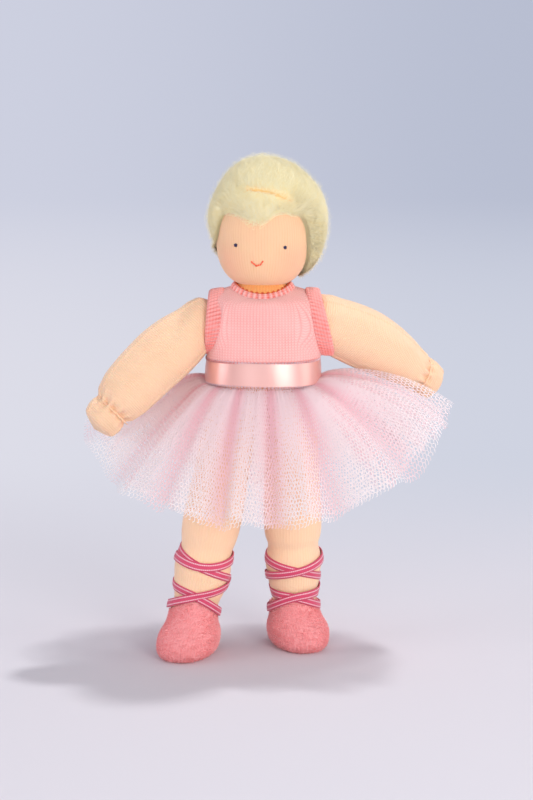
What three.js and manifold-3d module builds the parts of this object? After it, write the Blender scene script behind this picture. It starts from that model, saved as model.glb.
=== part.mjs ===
// A small stuffed cloth doll in a tulle tutu, standing on two plush slippers.
// Millimetres, +Z up, the doll faces -Y. Its right side is at -X.
import * as THREE from 'three';
import { mergeVertices } from 'three/addons/utils/BufferGeometryUtils.js';
import Module from 'manifold-3d';

const wasm = await Module();
wasm.setup();

// Clearances and thicknesses shared by the pieces
const GAP = 0.3;
const JOINT_GAP = 0.4;
const SKIN = 0.8;
const WIRE_RADIUS = 0.7;
const WIRE_BEND_RADIUS = 1.2;
const THREAD_RADIUS = 0.22;
const OVERRUN = 60;
const SHORT_OVERRUN = 6;
// Distance of the chest wire behind the spine wire, and of the seat wire in front of it
const WIRE_CROSSING = 2.1;
// Level sections: 2 is an ellipse, and more is nearer to a box
const WAIST_POWER = 2.2;
const CHEST_POWER = 2.4;
const JAW_POWER = 2.7;
const SKULL_POWER = 2.1;

// Legs, from the hip centres down
const HIP_OFFSET = 8.4;
const HIP_BALL_RADIUS = 7.7;
const THIGH_RADIUS = 8.2;
const THIGH_LENGTH = 38.5;
const KNEE_BALL_RADIUS = 8.4;
const KNEE_CREASE_RADIUS = 7.25;
const SHIN_LENGTH = 31.5;
const SHIN_RADIUS = 8.2;
const ANKLE_RADIUS = 7.6;
// Height of the left foot's ankle, whose leg stands almost upright and carries the hips
const ANKLE_HEIGHT = 6.606;
const FOOT_OFFSETS = { right: [-22, -6], left: [10, 3.5] };

// Slippers
const SHOE_HALF_WIDTH = 8.8;
const SHOE_HALF_LENGTH = 12;
const SHOE_HEIGHT = 12.6;
const SHOE_WALL = 1.3;
const SOLE = 1.6;
const TOE_REACH = 3.5;

// Narrow ribbons wound round each lower leg
const LACE_WIDTH = 2.6;
const LACE_THICKNESS = 0.4;
const LACE_PITCH = 9.4;
const LACE_TURNS = 2;
// Part of a turn from the ends behind the heel to the side of the leg
const LACE_LEAD_TURNS = 0.22;
const LACE_FRONT_STEEPNESS_SHARE = 0.95;
const LACE_STEPS = 14;

// Torso and what is worn on it
const TORSO_HEIGHT = 32.2;
const SPINE_WIRE_RISE = 6.6;
const CHEST_RISE = 0.7;
const WAIST_HALF_WIDTH = 14;
const WAIST_HALF_DEPTH = 10.6;
const CHEST_HALF_WIDTH = 15.4;
const CHEST_HALF_DEPTH = 11.2;
// Bottom of the ribbon above the hips
const RIBBON_RISE = 7.3;
const RIBBON_WIDTH = 7;
const RIBBON_THICKNESS = 0.45;
const TAPE_THICKNESS = 2.2;
const BODICE_THICKNESS = 0.9;
const EDGING_RADIUS = 1;
const ARMHOLE_RADIUS = 8.6;
const ARM_ROOM = 0.9;
const NECKLINE_HALF_WIDTH = 8.8;
const NECKLINE_HALF_DEPTH = 8.4;
const NECKLINE_DIP = 0.8;

// Arms, from the shoulder centres out
// Shoulder centres below the top of the torso
const SHOULDER_DROP = 8.05;
const SHOULDER_OFFSET = 18.2;
const SHOULDER_BALL_RADIUS = 7.3;
const UPPER_ARM_LENGTH = 21;
const UPPER_ARM_RADIUS = 8.6;
const ELBOW_BALL_RADIUS = 8.6;
const ELBOW_CREASE_RADIUS = 7.4;
const FOREARM_LENGTH = 17.4;
const FOREARM_RADIUS = 8.7;
const WRIST_RADIUS = 5.6;
const HAND_RADIUS = 5.9;
const HAND_LENGTH = 8.8;
const WRIST_THREAD_LOOPS = 1.3;
const RIGHT_ARM_DROP_DEGREES = 43;
const LEFT_ARM_DROP_DEGREES = 27;
const RIGHT_ARM_FORWARD_DEGREES = 16;
const LEFT_ARM_FORWARD_DEGREES = -27;

// Neck above the top of the torso, chin above the neck's base, and all of the head above the chin
const NECK_RISE = 0.15;
const CHIN_RISE = 3.3;
const NECK_RADIUS = 5.7;
const NECK_BALL_RADIUS = 6.1;
const NECK_LENGTH = 8;
const NECK_THREAD_LOOPS = 2;
const NECK_THREAD_PITCH = 0.9;
const HEAD_HALF_WIDTH = 14;
const HEAD_HALF_DEPTH = 13.4;
const HEAD_HEIGHT = 30.6;
const HEAD_TURN_ANGLE = 7;
const EYE_SPACING = 14.6;
const EYE_RISE = 13.1;
const EYE_HALF_SIZES = [0.6, 0.5, 0.75];
const MOUTH_WIDTH = 3.8;
const MOUTH_RISE = 8.1;
const MOUTH_SAG = 1.3;

// Hair: its centre off the head's centre, the crown's off the top of the head, edges above the chin
const HAIR_HALF_SIZES = [17.2, 15.8, 18.3];
const HAIR_CENTRE_OFFSETS = [1, 1.6, 2.4];
const HAIR_FRONT = 5;
const HAIR_HEM_RISE = 4.1;
const HAIR_HEM_ANGLE = 14;
const CROWN_HALF_SIZES = [13.4, 12.6, 9];
const CROWN_CENTRE_OFFSETS = [1.6, 0.4, -1.5];
const FRINGE_THICKNESS = 1.9;
const FRINGE_BOTTOM_RISE = 9.3;
const FRINGE_FRONT = 5.3;
const HAIRLINE_RISE = 19.7;
const HAIRLINE_RADIUS = 12.9;

// Tutu, each layer from its top edge under the ribbon out to its hem
const TULLE_LENGTHS = [42.5, 41, 39.5];
const TULLE_THICKNESS = 0.4;
const TULLE_STEP = 0.8;
const FOLD_DEPTH = 2.3;
const FOLD_COUNT = 14;
const COLUMNS_PER_FOLD = 4;
const TULLE_ROWS = 3;
// Fall below level, and how much less of it at the waist, at bearings from the doll's left side through its back
const FALL_DEGREES = [[0, 18, 26], [22, 34, 12], [55, 45, 9], [90, 62, 9], [125, 44, 9], [150, 22, 14], [170, 20, 18],
  [191, 40, 9], [215, 47, 9], [240, 60, 9], [270, 67, 9], [300, 58, 9], [325, 38, 12], [345, 22, 22]];
const FALL_SPREAD_DEGREES = [0, 5, 9.5];
const FRONT_SPREAD_SHARE = 0.45;

// Counts of segments and steps
const ARC_STEPS = 3;
const THREAD_SEGMENTS = 6;
const THREAD_STEPS = 16;
const THREAD_SIDES = 5;
const WIRE_STEPS = 8;
const EDGING_POINTS = 12;
const EDGING_STEPS = 20;
const BAND_TURNS = 30;
const BAND_LAP = 3;
const MOUTH_POINTS = 7;
const LIMB_SEGMENTS = 12;
const CORE_SEGMENTS = 8;
const BODY_SEGMENTS = 20;
const HEAD_SEGMENTS = 20;
const SOCKET_SEGMENTS = 18;
const DEGREE = Math.PI / 180;

const colours = {
  skin: 0xf8d2b2, wool: 0xf1ead9, wire: 0xb9bcc0, bodice: 0xf5aaac, edging: 0xfa9691, ribbon: 0xf0beb9,
  tulle: 0xf0d7de, shoe: 0xf08c91, lace: 0xe15073, hair: 0xf5e6b4, eye: 0x28285a, mouth: 0xeb5f46,
  thread: 0xe6823c, tape: 0xf3dde0,
};

function finish(colour, roughness = 0.9, metalness = 0) {
  return new THREE.MeshStandardMaterial({ color: colours[colour], roughness, metalness });
}

// Closed geometry: shared vertices joined, collapsed triangles left out
function tidy(geometry) {
  const bare = new THREE.BufferGeometry();
  bare.setAttribute('position', geometry.getAttribute('position').clone());
  if (geometry.index) bare.setIndex(Array.from(geometry.index.array));
  const merged = mergeVertices(bare, 1e-4);
  const index = merged.index.array;
  const kept = [];
  for (let i = 0; i < index.length; i += 3) {
    const [a, b, c] = [index[i], index[i + 1], index[i + 2]];
    if (a !== b && b !== c && c !== a) kept.push(a, b, c);
  }
  merged.setIndex(kept);
  return merged;
}

function solid(geometry) {
  const closed = tidy(geometry);
  return new wasm.Manifold(new wasm.Mesh({
    numProp: 3,
    vertProperties: new Float32Array(closed.getAttribute('position').array),
    triVerts: new Uint32Array(closed.index.array),
  }));
}

function geometryOf(manifold) {
  const mesh = manifold.getMesh();
  const geometry = new THREE.BufferGeometry();
  geometry.setAttribute('position', new THREE.BufferAttribute(new Float32Array(mesh.vertProperties), 3));
  geometry.setIndex(Array.from(mesh.triVerts));
  return geometry;
}

function cut(geometry, ...tools) {
  return geometryOf(tools.reduce((rest, tool) => rest.subtract(solid(tool)), solid(geometry)));
}

function keep(geometry, tool) {
  return geometryOf(solid(geometry).intersect(solid(tool)));
}

function join(geometry, other) {
  return geometryOf(solid(geometry).add(solid(other)));
}

// Skin through rings of equal counts: capped at both ends, or closed on itself
function loft(rings, closed = false) {
  const count = rings[0].length;
  const points = rings.flat();
  const index = [];
  const bands = closed ? rings.length : rings.length - 1;
  for (let i = 0; i < bands; i += 1) {
    const low = i * count;
    const high = ((i + 1) % rings.length) * count;
    for (let k = 0; k < count; k += 1) {
      const next = (k + 1) % count;
      index.push(low + k, low + next, high + next, low + k, high + next, high + k);
    }
  }
  if (!closed) {
    for (const [ring, first, turn] of [[rings[0], 0, 1], [rings.at(-1), points.length - count, 0]]) {
      const centre = ring.reduce((sum, p) => sum.add(p), new THREE.Vector3()).divideScalar(count);
      const hub = points.push(centre) - 1;
      for (let k = 0; k < count; k += 1) {
        const pair = [first + k, first + ((k + 1) % count)];
        index.push(hub, pair[turn], pair[1 - turn]);
      }
    }
  }
  let volume = 0;
  for (let i = 0; i < index.length; i += 3) {
    const [a, b, c] = [points[index[i]], points[index[i + 1]], points[index[i + 2]]];
    volume += a.dot(new THREE.Vector3().crossVectors(b, c));
  }
  if (volume < 0) index.reverse();
  return new THREE.BufferGeometry().setFromPoints(points).setIndex(index);
}

// Level ring, from an ellipse at power 2 towards a box as the power grows
function levelRing(halfWidth, halfDepth, height, power = 2, segments = BODY_SEGMENTS, centre = [0, 0]) {
  return Array.from({ length: segments }, (_, k) => {
    const turn = (k / segments) * 2 * Math.PI;
    const [c, s] = [Math.cos(turn), Math.sin(turn)];
    return new THREE.Vector3(
      centre[0] + halfWidth * Math.sign(c) * Math.abs(c) ** (2 / power),
      centre[1] + halfDepth * Math.sign(s) * Math.abs(s) ** (2 / power),
      height,
    );
  });
}

// Solid of revolution about Z from [radius, height] pairs, listed upwards or downwards
function revolve(profile, segments = LIMB_SEGMENTS) {
  const points = profile.map(([radius, height]) => new THREE.Vector2(radius, height));
  if (points[0].y > points.at(-1).y) points.reverse();
  return new THREE.LatheGeometry(points, segments).rotateX(Math.PI / 2);
}

function ball(radius, centre = new THREE.Vector3(), segments = SOCKET_SEGMENTS) {
  return new THREE.SphereGeometry(radius, segments, segments / 2).translate(centre.x, centre.y, centre.z);
}

function rod(radius, from, to, segments = THREAD_SEGMENTS) {
  const path = new THREE.LineCurve3(from, to);
  const shape = new THREE.Shape(levelRing(radius, radius, 0, 2, segments).map((p) => new THREE.Vector2(p.x, p.y)));
  return new THREE.ExtrudeGeometry(shape, { steps: 1, extrudePath: path });
}

function tube(radius, points, steps, closed = false, sides = THREAD_SEGMENTS) {
  const path = new THREE.CatmullRomCurve3(points, closed);
  const shape = new THREE.Shape(levelRing(radius, radius, 0, 2, sides).map((p) => new THREE.Vector2(p.x, p.y)));
  return new THREE.ExtrudeGeometry(shape, { steps, extrudePath: path });
}

const doll = new THREE.Group();

function add(name, geometry, material, group = doll) {
  const mesh = new THREE.Mesh(tidy(geometry), material);
  mesh.geometry.computeVertexNormals();
  mesh.name = name;
  group.add(mesh);
  return mesh;
}

// Arc of a limb's ball from one angle off +Z to another, as [radius, height] pairs
function arc(radius, height, fromAngle, toAngle) {
  return Array.from({ length: ARC_STEPS + 1 }, (_, i) => {
    const angle = (fromAngle + ((toAngle - fromAngle) * i) / ARC_STEPS) * DEGREE;
    return [radius * Math.sin(angle), height + radius * Math.cos(angle)];
  });
}

// Same outline drawn in by a distance along its normals, ends kept on the axis
function inset(profile, distance) {
  return profile.map(([radius, height], i) => {
    const before = profile[Math.max(i - 1, 0)];
    const after = profile[Math.min(i + 1, profile.length - 1)];
    const run = new THREE.Vector2(after[0] - before[0], after[1] - before[1]).normalize();
    const edge = radius === 0;
    const side = edge ? new THREE.Vector2(0, i === 0 ? 1 : -1) : new THREE.Vector2(-run.y, run.x);
    return [edge ? 0 : Math.max(radius - side.x * distance, 0), height - side.y * distance];
  });
}

// Distance from a hinge ball's centre to the crease round it
function creaseDropOf(hingeBall, crease) {
  return Math.sqrt(hingeBall ** 2 - crease ** 2);
}

// Upper limb: a ball at the top, a swelling middle and a ball at the hinge below
function upperOutline(topBall, length, radius, hingeBall, crease) {
  const creaseDrop = creaseDropOf(hingeBall, crease);
  return [
    [0, topBall],
    ...arc(topBall, 0, 30, 105),
    [topBall + 0.2 * (radius - topBall), -0.6 * topBall],
    [radius, -0.55 * length],
    [radius, -length + 2 * creaseDrop],
    [(radius + crease) / 2, -length + 1.25 * creaseDrop],
    [crease, -length + creaseDrop],
    ...arc(hingeBall, -length, 90, 150),
    [0, -length - hingeBall],
  ];
}

// The hollow inside an upper limb, with fewer points than its skin
function upperHollow(topBall, length, radius, hingeBall, crease) {
  const creaseDrop = creaseDropOf(hingeBall, crease);
  return [
    [0, topBall],
    [0.72 * topBall, 0.6 * topBall],
    [0.97 * topBall, 0],
    [0.97 * radius, -0.6 * length],
    [0.97 * crease, -length + creaseDrop],
    [0.7 * hingeBall, -length - 0.6 * hingeBall],
    [0, -length - hingeBall],
  ];
}

// Skin, stuffing and wire of one stretch of a limb, cut by the ball above it or by the pocket at its top
function stuff(prefix, group, outline, hollow, { cutter = null, pocket = 0, wire, extra = null }) {
  const body = (profile, segments, more) => {
    const turned = revolve(profile, segments);
    return more ? join(turned, more) : turned;
  };
  const outer = body(outline, LIMB_SEGMENTS, extra?.outer);
  const inner = body(inset(hollow, SKIN), LIMB_SEGMENTS, extra?.inner);
  const core = body(inset(hollow, SKIN + 2 * GAP), CORE_SEGMENTS, extra?.core);
  const [top, bottom] = wire;
  const hole = rod(WIRE_RADIUS + GAP, new THREE.Vector3(0, 0, OVERRUN), new THREE.Vector3(0, 0, bottom - GAP));
  const skinCutters = cutter ? [ball(cutter)] : [];
  const coreCutter = cutter ? ball(cutter + GAP, undefined, LIMB_SEGMENTS) : ball(pocket, undefined, CORE_SEGMENTS);
  add(`${prefix}_skin`, cut(outer, inner, hole, ...skinCutters), finish('skin'), group);
  add(`${prefix}_stuffing`, cut(core, hole, coreCutter), finish('wool', 1), group);
  add(`${prefix}_wire`, rod(WIRE_RADIUS, new THREE.Vector3(0, 0, top), new THREE.Vector3(0, 0, bottom)),
    finish('wire', 0.4, 0.9), group);
}

// Turns a limb that hangs down local -Z so that it points along a direction
function aim(group, origin, direction, reference) {
  const up = direction.clone().negate().normalize();
  const first = reference.clone().addScaledVector(up, -reference.dot(up)).normalize();
  const second = new THREE.Vector3().crossVectors(up, first);
  group.quaternion.setFromRotationMatrix(new THREE.Matrix4().makeBasis(first, second, up));
  group.position.copy(origin);
}

// Heights, worked up from the floor
const legLength = THIGH_LENGTH + SHIN_LENGTH;
const [leftFootX, leftFootY] = FOOT_OFFSETS.left;
const leftLegRun = Math.hypot(leftFootX - HIP_OFFSET, leftFootY);
const hipHeight = ANKLE_HEIGHT + Math.sqrt(legLength ** 2 - leftLegRun ** 2);
const ribbonBottom = hipHeight + RIBBON_RISE;
const bodiceBottom = ribbonBottom + RIBBON_WIDTH + GAP;
const torsoBottom = hipHeight + 0.15 * HIP_BALL_RADIUS;
const torsoTop = torsoBottom + TORSO_HEIGHT;
const neckHeight = torsoTop + NECK_RISE;
const neckTop = neckHeight + NECK_LENGTH;
const chinHeight = neckHeight + CHIN_RISE;

const sides = { right: -1, left: 1 };
const hips = {};
const shoulders = {};
for (const [side, sign] of Object.entries(sides)) {
  hips[side] = new THREE.Vector3(sign * HIP_OFFSET, 0, hipHeight);
  shoulders[side] = new THREE.Vector3(sign * SHOULDER_OFFSET, 0, torsoTop - SHOULDER_DROP);
}

// Legs with slippers and wound ribbons
function addLeg(side) {
  const hip = hips[side];
  const [footX, footY] = FOOT_OFFSETS[side];
  const across = new THREE.Vector2(footX - hip.x, footY - hip.y);
  const ankle = new THREE.Vector3(footX, footY, hip.z - Math.sqrt(legLength ** 2 - across.lengthSq()));
  const thigh = new THREE.Group();
  aim(thigh, hip, ankle.clone().sub(hip), new THREE.Vector3(1, 0, 0));
  doll.add(thigh);

  const thighSizes = [HIP_BALL_RADIUS, THIGH_LENGTH, THIGH_RADIUS, KNEE_BALL_RADIUS, KNEE_CREASE_RADIUS];
  stuff(`${side}_thigh`, thigh, upperOutline(...thighSizes), upperHollow(...thighSizes), {
    pocket: WIRE_BEND_RADIUS, wire: [HIP_BALL_RADIUS * 0.5, -THIGH_LENGTH + GAP],
  });

  const shin = new THREE.Group();
  shin.position.z = -THIGH_LENGTH;
  thigh.add(shin);
  doll.updateMatrixWorld(true);

  // Foot and slipper are drawn standing on the floor, then moved into the leg's frame
  const toLeg = shin.matrixWorld.clone().invert();
  const axis = ankle.clone().sub(hip).normalize();
  const rimCentre = hip.clone().addScaledVector(axis, (SHOE_HEIGHT - hip.z) / axis.z);
  function footSolid(growth, lift = 0) {
    const shares = [[0.86, 0.88, 0], [1, 1, 0.28], [1.02, 1.01, 0.42], [1, 0.93, 0.62], [0.97, 0.8, 0.82],
      [0.92, 0.66, 1]];
    const wall = SHOE_WALL + GAP;
    const rings = shares.map(([wide, long, up], i) => {
      const rise = i / (shares.length - 1);
      const height = i === 0 ? SOLE - growth : up * SHOE_HEIGHT;
      const centreY = (footY - TOE_REACH) * (1 - rise ** 2) + rimCentre.y * rise ** 2;
      const centreX = footX * (1 - rise) + rimCentre.x * rise;
      const ring = levelRing(wide * (SHOE_HALF_WIDTH - wall) + growth, long * (SHOE_HALF_LENGTH - wall) + growth,
        height, WAIST_POWER, LIMB_SEGMENTS, [centreX, centreY]);
      const last = i === shares.length - 1;
      const tilt = last ? 1 : (rise ** 3) * 0.6;
      ring.forEach((p) => {
        p.z -= tilt * ((p.x - centreX) * axis.x + (p.y - centreY) * axis.y) / axis.z;
        if (last) p.addScaledVector(axis, -lift);
      });
      return ring;
    });
    return loft(rings).applyMatrix4(toLeg);
  }
  const creaseDrop = creaseDropOf(KNEE_BALL_RADIUS, KNEE_CREASE_RADIUS);
  const cup = KNEE_BALL_RADIUS + JOINT_GAP;
  const shinOutline = [
    [0, -KNEE_CREASE_RADIUS * 0.2],
    [KNEE_CREASE_RADIUS * 1.02, -creaseDrop],
    [(SHIN_RADIUS + KNEE_CREASE_RADIUS) / 2, -1.25 * creaseDrop],
    [SHIN_RADIUS, -1.9 * creaseDrop],
    [SHIN_RADIUS, -0.55 * SHIN_LENGTH],
    [ANKLE_RADIUS, -0.8 * SHIN_LENGTH],
    [ANKLE_RADIUS * 0.8, -0.92 * SHIN_LENGTH],
    [0, -0.96 * SHIN_LENGTH],
  ];
  const shinHollow = [0, 1, 3, 5, 6, 7].map((i) => shinOutline[i]);
  stuff(`${side}_lower_leg`, shin, shinOutline, shinHollow, {
    cutter: cup,
    wire: [-cup - GAP, -0.88 * SHIN_LENGTH],
    extra: { outer: footSolid(0), inner: footSolid(-SKIN), core: footSolid(-SKIN - GAP) },
  });
  const shoe = cut(footSolid(SHOE_WALL + GAP), footSolid(GAP, SHORT_OVERRUN), revolve(inset(shinOutline, -GAP)));
  add(`${side}_shoe`, shoe, finish('shoe', 1), shin);

  const rimLevel = rimCentre.clone().applyMatrix4(toLeg).z;
  for (const [name, turnSign, layer] of [['inner_lace', -1, 0], ['outer_lace', 1, 1]]) {
    const innerRadius = SHIN_RADIUS + GAP + layer * (LACE_THICKNESS + GAP);
    const start = rimLevel + LACE_WIDTH / 2 + 3 * GAP;
    const steps = LACE_STEPS * LACE_TURNS;
    const firstAngle = turnSign > 0 ? Math.PI : 0;
    const rings = Array.from({ length: steps + 1 }, (_, i) => {
      const turn = (i / steps) * LACE_TURNS - LACE_LEAD_TURNS;
      const wave = 1 - Math.cos(2 * Math.PI * turn);
      const rise = LACE_PITCH * (turn + (LACE_FRONT_STEEPNESS_SHARE * wave) / (2 * Math.PI));
      const angle = firstAngle + turnSign * 2 * Math.PI * turn;
      return [[0, -1], [1, -1], [1, 1], [0, 1]].map(([out, up]) => new THREE.Vector3(
        (innerRadius + out * LACE_THICKNESS) * Math.cos(angle),
        (innerRadius + out * LACE_THICKNESS) * Math.sin(angle),
        start + rise + (up * LACE_WIDTH) / 2,
      ));
    });
    const middles = rings.map((ring) => ring[0].clone().add(ring[2]).divideScalar(2));
    const gap = leastGap(middles, Math.round(LACE_STEPS * 0.7), LACE_WIDTH);
    console.log(`${side}_${name}: least gap to itself ${gap.toFixed(2)} mm`);
    add(`${side}_${name}`, loft(rings), finish('lace', 0.5), shin);
  }
}

// Torso outline: waist under the ribbon, chest under the bodice, level shoulders
function torso(growth, segments = BODY_SEGMENTS) {
  const shares = [[0, 1], [0.7, 1], [0.9, 0.96], [1, 0.86]];
  const chestBase = bodiceBottom + CHEST_RISE;
  const waistRings = [torsoBottom - Math.min(growth, 0), bodiceBottom - GAP].map((height) => levelRing(
    WAIST_HALF_WIDTH + growth, WAIST_HALF_DEPTH + growth, height, WAIST_POWER, segments));
  const chestRings = shares.map(([up, wide]) => levelRing(CHEST_HALF_WIDTH * wide + growth,
    CHEST_HALF_DEPTH * wide + growth, chestBase + (torsoTop - chestBase + growth) * up, CHEST_POWER, segments));
  return loft([...waistRings, ...chestRings]);
}

const neckBase = new THREE.Vector3(0, 0, neckHeight);
const armRoot = SHOULDER_BALL_RADIUS + ARM_ROOM - JOINT_GAP;
const socketCuts = (growth, segments) => [
  [HIP_BALL_RADIUS, hips.right], [HIP_BALL_RADIUS, hips.left], [armRoot, shoulders.right],
  [armRoot, shoulders.left], [NECK_BALL_RADIUS, neckBase],
].map(([radius, centre]) => ball(radius + growth, centre, segments));
const chestWireEnds = Object.values(shoulders).map((shoulder) => new THREE.Vector3(
  shoulder.x - Math.sign(shoulder.x) * (SHOULDER_BALL_RADIUS + 2 * JOINT_GAP), WIRE_CROSSING, shoulder.z));
const spineFrom = new THREE.Vector3(0, 0, torsoBottom + SPINE_WIRE_RISE);
const spineTo = new THREE.Vector3(0, 0, neckHeight - NECK_BALL_RADIUS - 2 * JOINT_GAP);
const seatWirePoints = [[hips.right.x, 2 * JOINT_GAP + HIP_BALL_RADIUS], [hips.right.x / 2, 1.5 * HIP_BALL_RADIUS],
  [hips.left.x / 2, 1.5 * HIP_BALL_RADIUS], [hips.left.x, 2 * JOINT_GAP + HIP_BALL_RADIUS],
].map(([x, up]) => new THREE.Vector3(x, -WIRE_CROSSING, hipHeight + up));

function addTorso() {
  add('torso_skin', cut(torso(0), torso(-SKIN), ...socketCuts(JOINT_GAP)), finish('skin'));
  const bore = WIRE_RADIUS + GAP;
  const bores = [
    rod(bore, ...chestWireEnds.map((end) => end.clone().setX(2 * end.x))),
    rod(bore, spineFrom.clone().setZ(spineFrom.z - GAP), neckBase),
    tube(bore, [hips.right.clone().setY(-WIRE_CROSSING), ...seatWirePoints,
      hips.left.clone().setY(-WIRE_CROSSING)], WIRE_STEPS),
  ];
  add('torso_stuffing', cut(torso(-SKIN - 2 * GAP, LIMB_SEGMENTS),
    ...socketCuts(JOINT_GAP + GAP, LIMB_SEGMENTS), ...bores), finish('wool', 1));
  add('chest_wire', rod(WIRE_RADIUS, ...chestWireEnds), finish('wire', 0.4, 0.9));
  add('spine_wire', rod(WIRE_RADIUS, spineFrom, spineTo), finish('wire', 0.4, 0.9));
  add('seat_wire', tube(WIRE_RADIUS, seatWirePoints, WIRE_STEPS), finish('wire', 0.4, 0.9));
}

// Bodice with its gathered neckline and thick armhole edgings
function ringPoints(place) {
  return Array.from({ length: EDGING_POINTS }, (_, k) => {
    const turn = (k / EDGING_POINTS) * 2 * Math.PI;
    return place(Math.cos(turn), Math.sin(turn));
  });
}

function addBodice() {
  const inner = torso(GAP);
  const outer = torso(GAP + BODICE_THICKNESS);
  const armholes = Object.entries(sides).map(([side, sign]) => {
    const { y, z } = shoulders[side];
    const x = sign * (CHEST_HALF_WIDTH + GAP);
    const middleRadius = ARMHOLE_RADIUS + EDGING_RADIUS;
    const ring = ringPoints((c, s) => new THREE.Vector3(x, y + middleRadius * c, z + middleRadius * s));
    add(`${side}_armhole_edging`, cut(tube(EDGING_RADIUS, ring, EDGING_STEPS, true), inner), finish('edging', 1));
    return rod(middleRadius + EDGING_RADIUS + GAP, new THREE.Vector3(x - sign * (EDGING_RADIUS + GAP), y, z),
      new THREE.Vector3(sign * OVERRUN, y, z), BODY_SEGMENTS);
  });
  const necklineHeight = torsoTop + 2 * GAP + EDGING_RADIUS;
  const neckline = ringPoints((c, s) => new THREE.Vector3(NECKLINE_HALF_WIDTH * c, NECKLINE_HALF_DEPTH * s,
    necklineHeight + (NECKLINE_DIP * (1 + s)) / 2));
  add('neckline_edging', tube(EDGING_RADIUS, neckline, EDGING_STEPS, true), finish('edging', 1));
  const rim = EDGING_RADIUS + GAP;
  const opening = loft([-1, 1].map((end) => levelRing(NECKLINE_HALF_WIDTH + rim, NECKLINE_HALF_DEPTH + rim,
    torsoTop + end * SHORT_OVERRUN)));
  const floor = new THREE.BoxGeometry(OVERRUN, OVERRUN, OVERRUN).translate(0, 0, bodiceBottom - OVERRUN / 2);
  add('bodice', cut(outer, inner, ...armholes, ...socketCuts(JOINT_GAP), opening, floor), finish('bodice', 1));
}

// Ribbon once round the waist, each end of it clear of the other where they lap at the back
function lappedRibbon() {
  const steps = BAND_TURNS + BAND_LAP;
  const clearance = TAPE_THICKNESS + 2 * GAP;
  const path = Array.from({ length: steps + 1 }, (_, k) => {
    const turn = ((k + BAND_TURNS / 4 - BAND_LAP / 2) / BAND_TURNS) * 2 * Math.PI;
    const lift = (k / steps) * (RIBBON_THICKNESS + GAP);
    return [lift, lift + RIBBON_THICKNESS].map((growth) => new THREE.Vector2(
      (WAIST_HALF_WIDTH + clearance + growth) * Math.sign(Math.cos(turn)) * Math.abs(Math.cos(turn)) ** (2 / WAIST_POWER),
      (WAIST_HALF_DEPTH + clearance + growth) * Math.sign(Math.sin(turn)) * Math.abs(Math.sin(turn)) ** (2 / WAIST_POWER)));
  });
  const shape = new THREE.Shape([...path.map(([low]) => low), ...path.map(([, high]) => high).reverse()]);
  return new THREE.ExtrudeGeometry(shape, { depth: RIBBON_WIDTH, bevelEnabled: false }).translate(0, 0, ribbonBottom);
}

// Tutu layers: the fall below level changes round the waist, and folds deepen to the hem
function fallAt(bearing, layer, down) {
  const last = FALL_DEGREES.length - 1;
  const start = FALL_DEGREES.findLastIndex(([at]) => at <= bearing);
  const [fromAt, ...from] = FALL_DEGREES[start];
  const [toAt, ...to] = start === last ? [360, ...FALL_DEGREES[0].slice(1)] : FALL_DEGREES[start + 1];
  const share = 0.5 - 0.5 * Math.cos((Math.PI * (bearing - fromAt)) / (toAt - fromAt));
  const [mean, rounding] = from.map((value, k) => value + (to[k] - value) * share);
  const steepShare = Math.sin(mean * DEGREE) ** 2;
  return mean + FALL_SPREAD_DEGREES[layer] * (1 - (1 - FRONT_SPREAD_SHARE) * steepShare) + rounding * (down - 1);
}

function tulleLayer(layer) {
  const columns = FOLD_COUNT * COLUMNS_PER_FOLD;
  const edge = TAPE_THICKNESS - TULLE_THICKNESS - layer * TULLE_STEP;
  const top = ribbonBottom - GAP - TULLE_THICKNESS - layer * TULLE_STEP;
  const length = TULLE_LENGTHS[layer];
  const waist = levelRing(WAIST_HALF_WIDTH + GAP + edge, WAIST_HALF_DEPTH + GAP + edge, top, WAIST_POWER, columns);
  const grid = Array.from({ length: columns }, (_, i) => {
    const turn = (i / columns) * 2 * Math.PI;
    const outward = new THREE.Vector3(Math.cos(turn), Math.sin(turn), 0);
    const start = waist[i];
    return Array.from({ length: TULLE_ROWS + 1 }, (_, j) => {
      const down = j / TULLE_ROWS;
      const slope = fallAt(turn / DEGREE, layer, down) * DEGREE;
      const point = start.clone().addScaledVector(outward, length * down * Math.cos(slope));
      point.z -= length * down * Math.sin(slope);
      const fold = FOLD_DEPTH * down ** 1.3 * Math.cos(FOLD_COUNT * turn + 0.8 * Math.sin(2 * turn));
      point.z += fold * Math.cos(slope);
      return point.addScaledVector(outward, fold * Math.sin(slope));
    });
  });
  const at = (i, j) => grid[(i + columns) % columns][Math.min(Math.max(j, 0), TULLE_ROWS)];
  const shifted = (i, j, distance) => {
    const round = at(i + 1, j).clone().sub(at(i - 1, j));
    const out = at(i, j + 1).clone().sub(at(i, j - 1));
    return at(i, j).clone().addScaledVector(out.cross(round).normalize(), distance);
  };
  const ringAt = (j, distance) => Array.from({ length: columns }, (_, i) => shifted(i, j, distance));
  const rows = [...grid[0].keys()];
  return loft([
    ...rows.map((j) => ringAt(j, TULLE_THICKNESS / 2)),
    ...rows.reverse().map((j) => ringAt(j, -TULLE_THICKNESS / 2)),
  ], true);
}

function addWaist() {
  add('waist_ribbon', lappedRibbon(), finish('ribbon', 0.35));
  const tapeCorners = [[0, 0], [TAPE_THICKNESS, 0], [TAPE_THICKNESS, RIBBON_WIDTH], [0, RIBBON_WIDTH]];
  add('tutu_waist_tape', loft(tapeCorners.map(([out, up]) => levelRing(WAIST_HALF_WIDTH + GAP + out,
    WAIST_HALF_DEPTH + GAP + out, ribbonBottom + up, WAIST_POWER)), true), finish('tape', 1));
  ['tutu_top_layer', 'tutu_middle_layer', 'tutu_under_layer'].forEach((name, layer) => {
    add(name, tulleLayer(layer), finish('tulle', 0.8));
  });
}

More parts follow.
